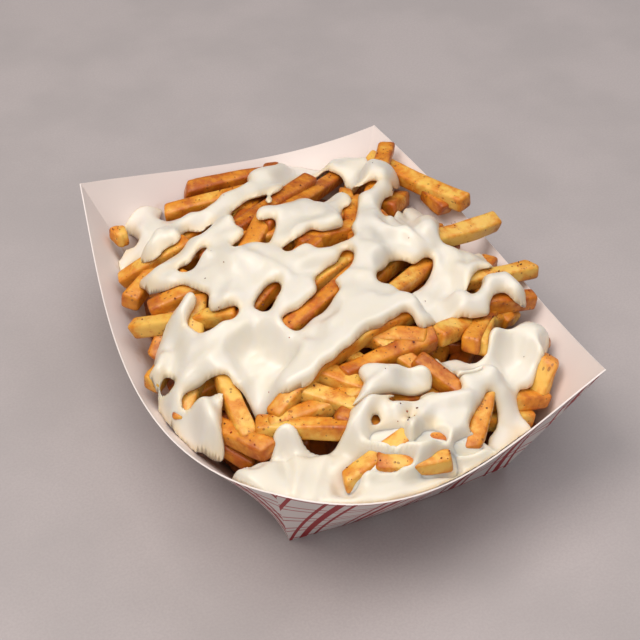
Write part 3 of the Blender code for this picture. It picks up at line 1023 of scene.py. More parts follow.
class Ground:
    """Heights on a grid of 1 mm: the boat's inside, and the top of the food that is laid in it."""

    STEP = 1.0 * MM
    HALF_X = 100
    HALF_Y = 125
    EMPTY = -1.0

    def __init__(self) -> None:
        """Sets up the grid with the core and no fries."""
        shape = (2 * self.HALF_X + 1, 2 * self.HALF_Y + 1)
        self.x = (np.arange(shape[0]) - self.HALF_X)[:, None] * self.STEP * np.ones(shape)
        self.y = (np.arange(shape[1]) - self.HALF_Y)[None, :] * self.STEP * np.ones(shape)
        self.boat = self.boat_heights(shape)
        self.inside = self.boat > self.EMPTY
        self.core = np.where(self.inside, HEAP.core_height(self.x, self.y), self.EMPTY)
        self.food = np.where(self.core > self.boat, self.core, self.EMPTY)

    def index(self, x: Array, y: Array) -> tuple[Array, Array]:
        """Grid cells of points.

        Args:
            x: first coordinates.
            y: second coordinates.

        Returns:
            Rows and columns.
        """
        i = np.rint(np.asarray(x) / self.STEP).astype(int) + self.HALF_X
        j = np.rint(np.asarray(y) / self.STEP).astype(int) + self.HALF_Y
        return np.clip(i, 0, 2 * self.HALF_X), np.clip(j, 0, 2 * self.HALF_Y)

    def boat_heights(self, shape: tuple[int, int]) -> Array:
        """Height of the boat's inner face with its clearance.

        Args:
            shape: size of the grid.

        Returns:
            Heights, and EMPTY outside the rim.
        """
        heights = np.full(shape, self.EMPTY)
        flat = (abs(self.x) <= BOAT.half_x) & (abs(self.y) <= BOAT.half_y)
        heights[flat] = BOAT.board + HEAP.gap
        across, up = np.linspace(-1, 1, 421), np.linspace(0, 1, 91)
        for wall in range(4):
            for t in across:
                base, rim = BOAT.base_point(wall, t), BOAT.rim_point(wall, t)
                i, j = self.index(base.x + (rim.x - base.x) * up, base.y + (rim.y - base.y) * up)
                z = base.z + (rim.z - base.z) * up + HEAP.wall_clearance
                np.maximum.at(heights, (i, j), z)
        return heights

    def support(self, x: Array, y: Array) -> Array:
        """Height that something rests at.

        Args:
            x: first coordinates.
            y: second coordinates.

        Returns:
            Heights.
        """
        cells = self.index(x, y)
        return np.maximum(self.boat[cells], self.food[cells] - HEAP.fry_sink)

    def lay(self, fry: "Fry") -> None:
        """Raises the food to the top of a fry.

        Args:
            fry: the fry.
        """
        along, across = fry.local(self.x, self.y)
        under = (abs(along) <= fry.length / 2) & (abs(across) <= fry.width / 2)
        top = fry.height(along) + fry.depth / 2
        self.food[under] = np.maximum(self.food[under], top[under])


class Fry:
    """A straight or arched bar, laid level across and resting on the ground under it."""

    def __init__(self, start: Vector, end: Vector, width: float, depth: float, arch: float = 0.0) -> None:
        """Sets the fry between two points.

        Args:
            start: middle of its first end.
            end: middle of its other end.
            width: size across.
            depth: size from its underside to its top.
            arch: how far its middle is raised.
        """
        self.centre = (start + end) / 2
        flat = (end - start).to_2d()
        self.length = flat.length
        self.heading = flat.normalized()
        self.width = width
        self.depth = depth
        self.arch = arch
        self.slope = (end.z - start.z) / self.length
        self.tone = 0.0
        self.entry = -1

    def local(self, x: Array, y: Array) -> tuple[Array, Array]:
        """Distance of points along and across the fry.

        Args:
            x: first coordinates.
            y: second coordinates.

        Returns:
            Distances from its middle.
        """
        dx, dy = x - self.centre.x, y - self.centre.y
        along = dx * self.heading.x + dy * self.heading.y
        return along, dy * self.heading.x - dx * self.heading.y

    def height(self, along: Array) -> Array:
        """Height of the middle line.

        Args:
            along: distances from the middle.

        Returns:
            Heights.
        """
        return self.centre.z + self.slope * along + self.arch * (1 - (2 * along / self.length) ** 2)

    def point(self, along: float) -> Vector:
        """Point of the middle line.

        Args:
            along: distance from the middle.

        Returns:
            The point.
        """
        flat = self.centre.to_2d() + self.heading * along
        return Vector((flat.x, flat.y, self.height(along)))

    def needed(self, heights_at: Callable[[Array, Array], Array]) -> tuple[Array, Array]:
        """The lowest height that the straight underside may have.

        Args:
            heights_at: gives the height of the ground at points.

        Returns:
            Places along the fry and the height at each.
        """
        along = np.linspace(-0.5, 0.5, 61) * self.length
        need = np.full(along.shape, Ground.EMPTY)
        for across in (-0.5, 0.0, 0.5):
            x = self.centre.x + self.heading.x * along - self.heading.y * across * self.width
            y = self.centre.y + self.heading.y * along + self.heading.x * across * self.width
            need = np.maximum(need, heights_at(x, y))
        return along, need - self.arch * (1 - (2 * along / self.length) ** 2)

    def inside_boat(self, ground: Ground) -> float:
        """How far the fry has to rise to clear the boat.

        Args:
            ground: the boat.

        Returns:
            The rise.
        """
        along, need = self.needed(lambda x, y: ground.boat[ground.index(x, y)])
        under = self.centre.z + self.slope * along - self.depth / 2
        return float(np.max(need - under))

    def settle(self, ground: Ground) -> None:
        """Lowers the fry until it rests on a point at each side of its middle.

        Args:
            ground: what it rests on.
        """
        along, need = self.needed(ground.support)
        left, right = along < 0, along > 0
        run = along[right][None, :] - along[left][:, None]
        rise = need[right][None, :] - need[left][:, None]
        slopes = rise / run
        levels = need[left][:, None] - slopes * along[left][:, None]
        best = np.unravel_index(np.argmax(levels), levels.shape)
        self.slope = float(np.clip(slopes[best], -HEAP.steepest, HEAP.steepest))
        self.centre.z = float(np.max(need - self.slope * along)) + self.depth / 2


class Pile:
    """All fries, laid in the boat one after the other."""

    def __init__(self) -> None:
        """Lays the hidden fries, the shown ones, the one on top, and then small ones into the gaps."""
        rng = random.Random(HEAP.seed)
        self.ground = Ground()
        self.fries: list[Fry] = []
        for _ in range(HEAP.hidden_tries):
            fry = self.hidden_fry(rng)
            if fry:
                self.add(fry)
        for number, entry in enumerate(SHOWN_FRIES):
            width, depth = HEAP.fry_width * rng.uniform(0.92, 1.06), HEAP.fry_depth * rng.uniform(0.9, 1.04)
            self.add(self.shown_fry(entry, width, depth), number)
        self.add(self.shown_fry(TOP_FRY, HEAP.fry_width, HEAP.fry_depth, TOP_FRY_ARCH), len(SHOWN_FRIES))
        self.fill_gaps(random.Random(HEAP.seed + 1))

    def add(self, fry: Fry, entry: int = -1) -> None:
        """Lays a fry on the ground.

        Args:
            fry: the fry.
            entry: its place in the list of shown fries, if it is one.
        """
        fry.entry = entry
        self.fries.append(fry)
        self.ground.lay(fry)

    def hidden_fry(self, rng: random.Random) -> Optional[Fry]:
        """A fry at a random place and heading.

        Args:
            rng: source of chance.

        Returns:
            The fry, or None if it would lie off the boat or stand up out of the heap.
        """
        middle = Vector((rng.uniform(-62, 62) * MM, rng.uniform(-88, 88) * MM, 0.0))
        heading = rng.uniform(0, math.pi)
        step = Vector((math.cos(heading), math.sin(heading), 0.0)) * rng.uniform(*HEAP.hidden_length) / 2
        ends = [middle - step, middle + step]
        fry = Fry(*ends, HEAP.fry_width * rng.uniform(0.85, 1.1), HEAP.fry_depth * rng.uniform(0.85, 1.05))
        ground = self.ground
        if not all(ground.inside[ground.index(end.x * 1.06, end.y * 1.06)] for end in ends):
            return None
        fry.settle(ground)
        for along in (-fry.length / 2, 0.0, fry.length / 2):
            spot = fry.point(along)
            if spot.z > HEAP.heap_height(spot.x, spot.y) - HEAP.hidden_under:
                return None
        return fry

    def shown_fry(self, entry: tuple, width: float, depth: float, arch: float = 0.0) -> Fry:
        """A fry whose shown stretch lies between two pixels of the view.

        Args:
            entry: a row of the list of shown fries.
            width: size across.
            depth: size from underside to top.
            arch: how far its middle is raised.

        Returns:
            The fry, resting where the pixels fall on the heap.
        """
        for share in (1.0, 0.8, 0.6, 0.4, 0.2, 0.0):
            fry = self.fry_on_heap(entry, share, width, depth, arch)
            rise = fry.inside_boat(self.ground)
            if rise < HEAP.most_rise:
                break
        fry.centre.z += max(rise, 0.0)
        return fry

    def fry_on_heap(self, entry: tuple, share: float, width: float, depth: float, arch: float) -> Fry:
        """A shown fry with a share of its hidden stretches, near the top of the heap.

        Args:
            entry: a row of the list of shown fries.
            share: share of the hidden stretches.
            width: size across.
            depth: size from underside to top.
            arch: how far its middle is raised.

        Returns:
            The fry.
        """
        x0, y0, x1, y1, _, before, after, *raised = entry
        reach = math.hypot(x1 - x0, y1 - y0)
        along = Vector(((x1 - x0) / reach, (y1 - y0) / reach))
        first = Vector((x0, y0)) - along * before * share
        last = Vector((x1, y1)) + along * after * share
        heights = [HEAP.heap_edge, HEAP.heap_edge]
        for _ in range(6):
            ends = [VIEW.point(*first, heights[0]), VIEW.point(*last, heights[1])]
            heights = [(h + float(HEAP.heap_height(end.x, end.y))) / 2 for h, end in zip(heights, ends)]
        if raised:
            heights = [h + lift * MM for h, lift in zip(heights, raised)]
            return Fry(VIEW.point(*first, heights[0]), VIEW.point(*last, heights[1]), width, depth, arch)
        fry = Fry(*ends, width, depth, arch)
        fry.settle(self.ground)
        rests = [fry.height(-fry.length / 2), fry.height(fry.length / 2)]
        lowest = [max(rest, h - HEAP.heap_under) for rest, h in zip(rests, heights)]
        heights = [min(low, h + HEAP.heap_over) for low, h in zip(lowest, heights)]
        return Fry(VIEW.point(*first, heights[0]), VIEW.point(*last, heights[1]), width, depth, arch)

    def fill_gaps(self, rng: random.Random) -> None:
        """Pushes more fries between and under those that show, where the frame has only its plain core.

        Args:
            rng: source of chance.
        """
        for _ in range(HEAP.filler_tries):
            x, y = rng.uniform(-66, 66) * MM, rng.uniform(-92, 92) * MM
            heading, half = rng.uniform(0, math.pi), rng.uniform(*HEAP.filler_half) * MM
            z = float(HEAP.heap_height(x, y)) - rng.uniform(*HEAP.filler_under) * MM
            tilt = rng.uniform(-HEAP.filler_tilt, HEAP.filler_tilt)
            step = Vector((math.cos(heading) * half, math.sin(heading) * half, tilt * half))
            middle = Vector((x, y, z))
            width, depth = HEAP.fry_width * rng.uniform(0.85, 1.05), HEAP.fry_depth * rng.uniform(0.85, 1.0)
            fry = Fry(middle - step, middle + step, width, depth)
            ends = [fry.point(-half), fry.point(half)]
            low = fry.inside_boat(self.ground) < 0.0
            deep = all(end.z < float(HEAP.heap_height(end.x, end.y)) - 7 * MM for end in ends)
            over = middle.z + 2 * MM > float(self.ground.food[self.ground.index(x, y)])
            inside = all(self.ground.inside[self.ground.index(end.x, end.y)] for end in ends)
            if low and deep and over and inside:
                self.add(fry)


@dataclass(frozen=True)
class FryCut:
    """How uneven the fries are, and how finely they are modelled."""

    ring: int = 20
    station: float = 4.6 * MM
    squareness: float = 5.5
    end_round: float = 1.3 * MM
    sway: float = 0.03
    sag: float = 0.015
    taper: float = 0.17
    twist: float = 0.18
    turn: float = 0.12
    slant: tuple[float, float] = (0.45, 0.3)
    lumps: float = 0.03
    end_reach: tuple[float, ...] = (0.0, 0.14, 0.5)
    end_sizes: tuple[float, ...] = (0.58, 0.82, 0.955)
    brown_tones: tuple[float, float] = (0.42, 0.62)
    pale_tones: tuple[float, float] = (0.02, 0.15)
    filler_tones: tuple[float, float] = (0.3, 0.75)
    tones: tuple[float, float] = (0.12, 0.5)


class FryShape:
    """The fine mesh of one fry: a rounded bar, bent, tapered and twisted a little, with rough cut ends."""

    def __init__(self, fry: Fry, cut: FryCut, seed: int) -> None:
        """Picks how this fry differs from a straight bar.

        Args:
            fry: where it lies.
            cut: how uneven fries are.
            seed: source of chance.
        """
        rng = random.Random(seed)
        self.fry, self.cut = fry, cut
        self.sway = rng.uniform(-1, 1) * cut.sway * fry.length
        self.sag = rng.uniform(-0.4, 1) * cut.sag * fry.length
        self.taper = rng.uniform(-1, 1) * cut.taper
        self.twist = rng.uniform(-1, 1) * cut.twist
        self.turn = rng.uniform(-1, 1) * cut.turn
        self.slants = [[rng.uniform(-1, 1) * most for most in cut.slant] for _ in range(2)]
        self.corners = [rng.uniform(0.88, 1.06) for _ in range(4)]
        self.phases = [rng.uniform(0, 2 * math.pi) for _ in range(6)]
        self.offset = np.array([rng.uniform(0, 1) for _ in range(3)])
        self.tone = self.pick_tone(rng)

    def pick_tone(self, rng: random.Random) -> float:
        """How brown the fry is.

        Args:
            rng: source of chance.

        Returns:
            0 for pale to about 1 for brown.
        """
        tones = self.cut.tones
        if self.fry.entry in BROWN_FRIES:
            tones = self.cut.brown_tones
        elif self.fry.entry in PALE_FRIES:
            tones = self.cut.pale_tones
        elif self.fry.entry == -1:
            tones = self.cut.filler_tones
        return rng.uniform(*tones)

    def stations(self) -> tuple[Array, Array]:
        """Places of the rings along the fry, closer together at its ends.

        Returns:
            Distances from its middle and the size of the ring at each.
        """
        half, end = self.fry.length / 2, self.cut.end_round
        inner = np.linspace(-half + end, half - end, max(6, int(self.fry.length / self.cut.station)))
        reach = np.array(self.cut.end_reach) * end
        sizes = np.array(self.cut.end_sizes)
        along = np.concatenate([-half + reach, inner, half - reach[::-1]])
        return along, np.concatenate([sizes, np.ones(len(inner)), sizes[::-1]])

    def section(self) -> Array:
        """Rounded square section.

        Returns:
            A row for each point of the ring: across and up, each from -1 to 1.
        """
        angle = (np.arange(self.cut.ring) + 0.5) / self.cut.ring * 2 * math.pi
        power = 2 / self.cut.squareness
        across = np.sign(np.cos(angle)) * abs(np.cos(angle)) ** power
        up = np.sign(np.sin(angle)) * abs(np.sin(angle)) ** power
        for k, (sx, sy) in enumerate(((1, 1), (-1, 1), (-1, -1), (1, -1))):
            near = np.clip(across * sx, 0, 1) * np.clip(up * sy, 0, 1)
            across = across * (1 + (self.corners[k] - 1) * near)
            up = up * (1 + (self.corners[k] - 1) * near)
        return np.stack([across, up], axis=1)

    def outline(self, section: Array, u: float, size: float) -> tuple[Array, Array]:
        """Size and turn of the section at one place.

        Args:
            section: the rounded square section.
            u: the place, from -1 to 1.
            size: size of the ring there.

        Returns:
            Distances across and up for each point of the ring.
        """
        lumps, phases = self.cut.lumps, self.phases
        swell = 1 + lumps * (math.sin(3.1 * u + phases[0]) + math.sin(7.3 * u + phases[1]))
        wide = self.fry.width / 2 * size * swell * (1 + self.taper * u) * 0.9
        deep = self.fry.depth / 2 * size * (1 + lumps * math.sin(4.7 * u + phases[2])) * 0.9
        turn = self.turn + self.twist * u
        a, b = section[:, 0] * wide, section[:, 1] * deep
        return a * math.cos(turn) - b * math.sin(turn), a * math.sin(turn) + b * math.cos(turn)

    def build(self) -> tuple[Array, Faces, Array, Array, Array]:
        """Makes the mesh.

        Returns:
            Points, faces, and for each point its place in the fry, its tone and its crust.
        """
        fry = self.fry
        section = self.section()
        corner = np.clip(abs(section[:, 0]) * abs(section[:, 1]) * 1.6 - 0.35, 0, 1)
        side = np.array([-fry.heading.y, fry.heading.x, 0.0])
        rows, places, crusts = [], [], []
        half = fry.length / 2
        for s, size in zip(*self.stations()):
            u = s / half
            ahead = np.array(fry.point(s + MM) - fry.point(s - MM))
            ahead /= np.linalg.norm(ahead)
            lift = np.cross(ahead, side)
            middle = np.array(fry.point(s)) + side * self.sway * (1 - u * u) - lift * self.sag * (1 - u * u)
            a, b = self.outline(section, u, size)
            near_end = max(0.0, 1 - (half - abs(s)) / (4 * MM))
            slant = self.slants[0 if u < 0 else 1]
            shift = near_end * (a * slant[0] + b * slant[1])
            rows.append(middle + a[:, None] * side + b[:, None] * lift + shift[:, None] * ahead)
            places.append(np.stack([s + shift, a, b], axis=1))
            crusts.append(np.clip(corner * 0.8 + near_end * 0.55, 0, 1))
        points, faces = self.closed(rows, self.cut.ring)
        ends = [places[0].mean(0), places[-1].mean(0)]
        where = np.concatenate(places + [np.array(ends)]) + self.offset
        crust = np.concatenate(crusts + [np.array([0.5, 0.5])])
        return points, faces, where, np.full(len(points), self.tone), crust

    @staticmethod
    def closed(rows: list[Array], ring: int) -> tuple[Array, Faces]:
        """Joins rings to a closed mesh.

        Args:
            rows: points of each ring.
            ring: points in a ring.

        Returns:
            Points and faces.
        """
        faces = ring_faces(len(rows), ring)
        last = len(rows) * ring
        for i in range(ring):
            j = (i + 1) % ring
            faces.append((last, j, i))
            faces.append((last + 1, last - ring + i, last - ring + j))
        return np.concatenate(rows + [np.array([rows[0].mean(0), rows[-1].mean(0)])]), faces


class FriesHeap:
    """All fries of the pile as one joined piece, with a crumbly core under them."""

    SPOKES = 96
    RINGS = 16
    RELIEF = 1.2 * MM
    BELOW = 1 * MM
    FIRST_SEED = 100

    def __init__(self, pile: Pile) -> None:
        """Keeps the pile.

        Args:
            pile: the laid fries.
        """
        self.pile = pile

    def core_reach(self, cosine: float, sine: float) -> float:
        """How far the core reaches in one direction before it meets the boat.

        Args:
            cosine: the direction's first coordinate.
            sine: the direction's second coordinate.

        Returns:
            The distance.
        """
        ground = self.pile.ground
        reaches = np.linspace(0, 0.13, 261)
        x, y = reaches * cosine, reaches * sine
        cells = ground.index(x, y)
        clear = (HEAP.core_height(x, y) > ground.boat[cells]) & ground.inside[cells]
        return reaches[int(np.argmin(clear))] - 2 * MM

    def core_points(self) -> Array:
        """Points of the core: its two middles, then the spokes of its top, then those of its underside.

        Returns:
            The points.
        """
        ground, low = self.pile.ground, BOAT.board + HEAP.gap
        points = [(0.0, 0.0, float(HEAP.core_height(0, 0)) - self.BELOW), (0.0, 0.0, low)]
        under = []
        for k in range(self.SPOKES):
            angle = 2 * math.pi * k / self.SPOKES
            cosine, sine = math.cos(angle), math.sin(angle)
            rim = self.core_reach(cosine, sine)
            for ring in range(1, self.RINGS + 1):
                r = rim * ring / self.RINGS
                x, y = r * cosine, r * sine
                relief = float(waves(np.array(x), np.array(y), 7 * MM, 5)) * self.RELIEF * (ring < self.RINGS)
                points.append((x, y, float(HEAP.core_height(x, y)) - self.BELOW + relief))
                if ring < self.RINGS:
                    under.append((x, y, float(ground.boat[ground.index(x, y)])))
        return np.array(points + under)

    def core(self) -> tuple[Array, Faces]:
        """The core under the fries: a dome with relief above and the boat's inside below.

        Returns:
            Points and faces.
        """
        rings = self.RINGS
        low = 2 + self.SPOKES * rings
        faces = []
        for k in range(self.SPOKES):
            n = (k + 1) % self.SPOKES
            top_k, top_n = 2 + k * rings, 2 + n * rings
            low_k, low_n = low + k * (rings - 1), low + n * (rings - 1)
            faces += [(0, top_k, top_n), (1, low_n, low_k)]
            for ring in range(rings - 1):
                faces.append((top_k + ring, top_k + ring + 1, top_n + ring + 1, top_n + ring))
                if ring < rings - 2:
                    faces.append((low_k + ring, low_n + ring, low_n + ring + 1, low_k + ring + 1))
            faces.append((low_k + rings - 2, low_n + rings - 2, top_n + rings - 1, top_k + rings - 1))
        return self.core_points(), faces

    def build(self) -> bpy.types.Object:
        """Joins the core and all fries.

        Returns:
            The heap.
        """
        points, faces = self.core()
        parts = [(points, faces, points, np.full(len(points), 1.0), np.full(len(points), 0.6))]
        for number, fry in enumerate(self.pile.fries):
            parts.append(FryShape(fry, FryCut(), self.FIRST_SEED + number).build())
        joined, start = [], 0
        for part in parts:
            joined += [tuple(c + start for c in face) for face in part[1]]
            start += len(part[0])
        item = mesh_object("fries_heap", np.concatenate([part[0] for part in parts]), joined)
        for column, name in ((2, "fry_place"), (3, "tone"), (4, "crust")):
            store(item, name, np.concatenate([part[column] for part in parts]))
        item.data.materials.append(FriedPotato().material())
        return item

    @staticmethod
    def dress(item: bpy.types.Object) -> None:
        """Ties the fries to the frame.

        Args:
            item: the fries.
        """
        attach(item, "root")
        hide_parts("fries")


# The sauce

# Outline of all the sauce, in pixels of the photo
SAUCE_EDGE = (
    (117, 204), (128, 200), (160, 206), (185, 214), (208, 205), (224, 187), (240, 177), (262, 167),
    (300, 160), (340, 152), (366, 152), (377, 165), (394, 174), (408, 186), (428, 208), (446, 226),
    (458, 250), (480, 257), (498, 262), (518, 277), (528, 296), (514, 306), (520, 322), (545, 320),
    (554, 336), (546, 356), (534, 384), (536, 404), (522, 436), (502, 452), (470, 470), (430, 485),
    (390, 497), (350, 502), (300, 496), (262, 492), (236, 480), (206, 456), (176, 436), (160, 414),
    (146, 388), (140, 372), (152, 356), (130, 320), (114, 282), (111, 258), (122, 244),
)
# The pool of sauce at the near end, which fills the boat there to the rim
SAUCE_POOL = (
    (225, 470), (245, 455), (262, 452), (300, 452), (345, 447), (400, 446), (460, 444), (504, 446),
    (515, 452), (500, 470), (430, 494), (390, 504), (350, 508), (300, 506), (262, 503), (232, 484),
)
# Strands of sauce that cross the openings: both ends and the width
SAUCE_STRANDS = (
    (158, 372, 172, 336, 15), (172, 336, 190, 298, 13), (376, 374, 366, 408, 17),
    (366, 372, 424, 376, 18), (362, 412, 352, 445, 18), (345, 448, 460, 447, 14),
    (390, 412, 474, 398, 20), (412, 430, 424, 408, 16), (470, 398, 448, 446, 20),
    (440, 444, 402, 476, 13), (507, 388, 509, 414, 20), (509, 414, 497, 434, 12),
    (509, 414, 526, 428, 12), (490, 280, 512, 280, 14), (512, 280, 523, 298, 13),
    (203, 410, 224, 452, 16), (246, 476, 275, 484, 26), (286, 442, 300, 478, 30),
    (460, 456, 500, 456, 14), (484, 360, 500, 390, 14),
)
# Thinner strands that only the photo's side shows, laid over the rest
THIN_STRANDS = (
    (200, 220, 224, 204, 13), (224, 204, 248, 191, 13), (248, 191, 307, 168, 14),
    (142, 284, 182, 254, 11), (182, 254, 228, 222, 13), (262, 214, 300, 206, 12),
    (236, 252, 266, 246, 10), (150, 228, 200, 220, 13), (300, 206, 345, 199, 12),
    (480, 302, 488, 288, 15), (488, 288, 500, 280, 13), (166, 402, 194, 438, 20),
    (194, 438, 214, 452, 13), (345, 160, 384, 168, 18), (384, 168, 396, 178, 15),
)
# Small gaps between the strands at the near end: both ends and the width
SAUCE_HOLES = (
    (431, 425, 437, 433, 15), (462, 444, 475, 436, 14), (374, 418, 380, 416, 8),
    (396, 397, 417, 397, 8), (403, 420, 413, 413, 6),
)
# Ridges where the sauce was poured on, and furrows with a height below zero: width in pixels, height in
# millimetres, then the line
SAUCE_RIDGES = (
    (11, 2.2, ((118, 268), (150, 245), (190, 222), (215, 200), (245, 180))),
    (8, 1.6, ((150, 282), (180, 262), (205, 238), (232, 212))),
    (11, 2.0, ((135, 312), (160, 288), (185, 272), (205, 255))),
    (24, 5.5, ((134, 212), (148, 234))),
    (7, 1.2, ((215, 240), (240, 232))),
    (9, 1.8, ((225, 245), (262, 262), (285, 275))),
    (9, 1.8, ((250, 175), (275, 172), (300, 165), (330, 158))),
    (9, 1.6, ((250, 213), (262, 195))),
    (10, 2.0, ((280, 212), (310, 205), (340, 222), (352, 240))),
    (8, 1.5, ((300, 228), (325, 218), (350, 225))),
    (12, 2.2, ((350, 165), (385, 178), (400, 190), (420, 215), (445, 245), (455, 260))),
    (9, 1.6, ((358, 200), (385, 190), (400, 185))),
    (11, 2.0, ((345, 225), (380, 215), (410, 235), (430, 250))),
    (10, 1.8, ((300, 262), (340, 248), (380, 250), (425, 262))),
    (12, 2.2, ((430, 255), (440, 280), (425, 300), (400, 300))),
    (11, 2.2, ((350, 318), (385, 305), (405, 310), (427, 332))),
    (11, 2.2, ((300, 345), (330, 318), (370, 300))),
    (14, 2.2, ((210, 340), (225, 310), (240, 280), (225, 255))),
    (9, 3.0, ((158, 372), (172, 335), (188, 300), (199, 291), (206, 298))),
    (12, 2.2, ((185, 380), (215, 350), (245, 330))),
    (12, 2.2, ((230, 390), (260, 365), (300, 345))),
    (15, 4.0, ((200, 405), (212, 425))),
    (11, 2.2, ((165, 400), (172, 420), (190, 440))),
    (24, 4.0, ((252, 474), (264, 479))),
    (13, 2.6, ((290, 445), (300, 465), (290, 490))),
    (12, 3.0, ((370, 390), (400, 370), (425, 372))),
    (9, 2.4, ((362, 415), (375, 390))),
    (10, 3.0, ((395, 408), (430, 402), (470, 398))),
    (10, 2.4, ((412, 430), (425, 410))),
    (10, 2.2, ((445, 345), (480, 360), (500, 375))),
    (10, 3.0, ((505, 395), (508, 415))),
    (8, 3.0, ((488, 282), (505, 280), (520, 292))),
    (8, 3.0, ((440, 445), (415, 450), (403, 476))),
    (9, 2.0, ((350, 450), (400, 443), (440, 447))),
    (12, 2.2, ((500, 330), (530, 330), (548, 345))),
    (5, -2.4, ((283, 452), (290, 472), (287, 500))),
    (5, -2.0, ((336, 452), (324, 478), (320, 502))),
    (5, -1.6, ((240, 468), (248, 458), (268, 454))),
    (6, -1.5, ((372, 470), (400, 474), (450, 472))),
    (5, -1.4, ((170, 405), (182, 432), (205, 455))),
    (6, -1.4, ((140, 262), (176, 238), (205, 220))),
    (6, -1.4, ((152, 300), (178, 280), (205, 262))),
    (6, -1.2, ((215, 392), (248, 372), (290, 352))),
    (6, -1.2, ((300, 272), (340, 262), (380, 266))),
    (6, -1.4, ((365, 205), (395, 208), (425, 240))),
    (5, -1.4, ((482, 352), (500, 366), (514, 386))),
)


def in_outline(px: Array, py: Array, outline: Sequence[Pixel]) -> Array:
    """Whether pixels lie inside a closed outline.

    Args:
        px: pixels from the left.
        py: pixels from the top.
        outline: corners of the outline.

    Returns:
        True inside.
    """
    inside = np.zeros(px.shape, bool)
    for (x0, y0), (x1, y1) in zip(outline, outline[1:] + outline[:1]):
        if y0 == y1:
            continue
        crosses = (py > y0) != (py > y1)
        inside ^= crosses & (px < x0 + (py - y0) * (x1 - x0) / (y1 - y0))
    return inside


def from_line(px: Array, py: Array, x0: float, y0: float, x1: float, y1: float) -> Array:
    """Distance in pixels from a straight line.

    Args:
        px: pixels from the left.
        py: pixels from the top.
        x0: first end from the left.
        y0: first end from the top.
        x1: other end from the left.
        y1: other end from the top.

    Returns:
        Distances.
    """
    dx, dy = x1 - x0, y1 - y0
    along = np.clip(((px - x0) * dx + (py - y0) * dy) / (dx * dx + dy * dy), 0, 1)
    return np.hypot(px - x0 - along * dx, py - y0 - along * dy)


def from_outline(px: Array, py: Array, outline: Sequence[Pixel]) -> Array:
    """Distance in pixels from a closed outline, positive inside it.

    Args:
        px: pixels from the left.
        py: pixels from the top.
        outline: corners of the outline.

    Returns:
        Distances.
    """
    near = np.full(px.shape, 1e3)
    for start, end in zip(outline, outline[1:] + outline[:1]):
        near = np.minimum(near, from_line(px, py, *start, *end))
    return np.where(in_outline(px, py, outline), near, -near)


def soft_min(first: Array, second: Array, reach: float) -> Array:
    """The lower of two fields, rounded where they meet.

    Args:
        first: one field.
        second: the other field.
        reach: how far the rounding goes.

    Returns:
        The rounded field.
    """
    share = np.clip(0.5 + (second - first) / (2 * reach), 0, 1)
    return second * (1 - share) + first * share - reach * share * (1 - share)


def soft_max(first: Array, second: Array, reach: float) -> Array:
    """The higher of two fields, rounded where they meet.

    Args:
        first: one field.
        second: the other field.
        reach: how far the rounding goes.

    Returns:
        The rounded field.
    """
    return -soft_min(-first, -second, reach)


@dataclass(frozen=True)
class SauceSize:
    """Form of the blanket of sauce."""

    pitch: float = 0.8 * MM
    half_x: float = 84.0 * MM
    half_y: float = 106.0 * MM
    thickness: float = 2.6 * MM
    edge_round: float = 2.6 * MM
    hang: float = 5.5 * MM
    pixel: float = MM / 2.65
    under_rim: float = 0.9 * MM
    wall_excess: float = 1.2 * MM
    leans: float = 8.0 * MM
    highest: float = 65.5 * MM
    least: float = 0.8 * MM
    thin_edge: float = 3.5 * MM
    pool_shore: float = 6.0
    pool_wall: float = 6.0 * MM
    scrap: int = 40
    pool_dip: float = 4.5 * MM
    pool_low: float = 39.0 * MM
    pool_high: float = 45.0 * MM


@dataclass(frozen=True)
class SauceFields:
    """The sauce on its grid: how far inside it each place is, its heights, and where it is thin or pooled."""

    depth: Array
    top: Array
    bottom: Array
    edge: Array
    thin: Array
    pool: Array


class EdgeCuts:
    """Points of the sauce's edge, where its depth is zero on a line of the grid, each made once."""

    def __init__(self, depth: Array, fields: tuple[Array, Array, Array], first: int) -> None:
        """Starts with no points.

        Args:
            depth: how far inside the sauce each place is.
            fields: both coordinates of the grid, and the height of the edge.
            first: number of the first point.
        """
        self.depth, self.fields, self.first = depth, fields, first
        self.points: list[tuple[float, ...]] = []
        self.numbers: dict[tuple[Cell, Cell], int] = {}

    def number(self, here: Cell, there: Cell) -> int:
        """Number of the point between two places.

        Args:
            here: one place.
            there: the place beside it.

        Returns:
            The number.
        """
        key = (here, there) if here < there else (there, here)
        if key not in self.numbers:
            a, b = key
            share = self.depth[a] / (self.depth[a] - self.depth[b])
            self.numbers[key] = self.first + len(self.points)
            self.points.append(tuple(field[a] + (field[b] - field[a]) * share for field in self.fields))
        return self.numbers[key]


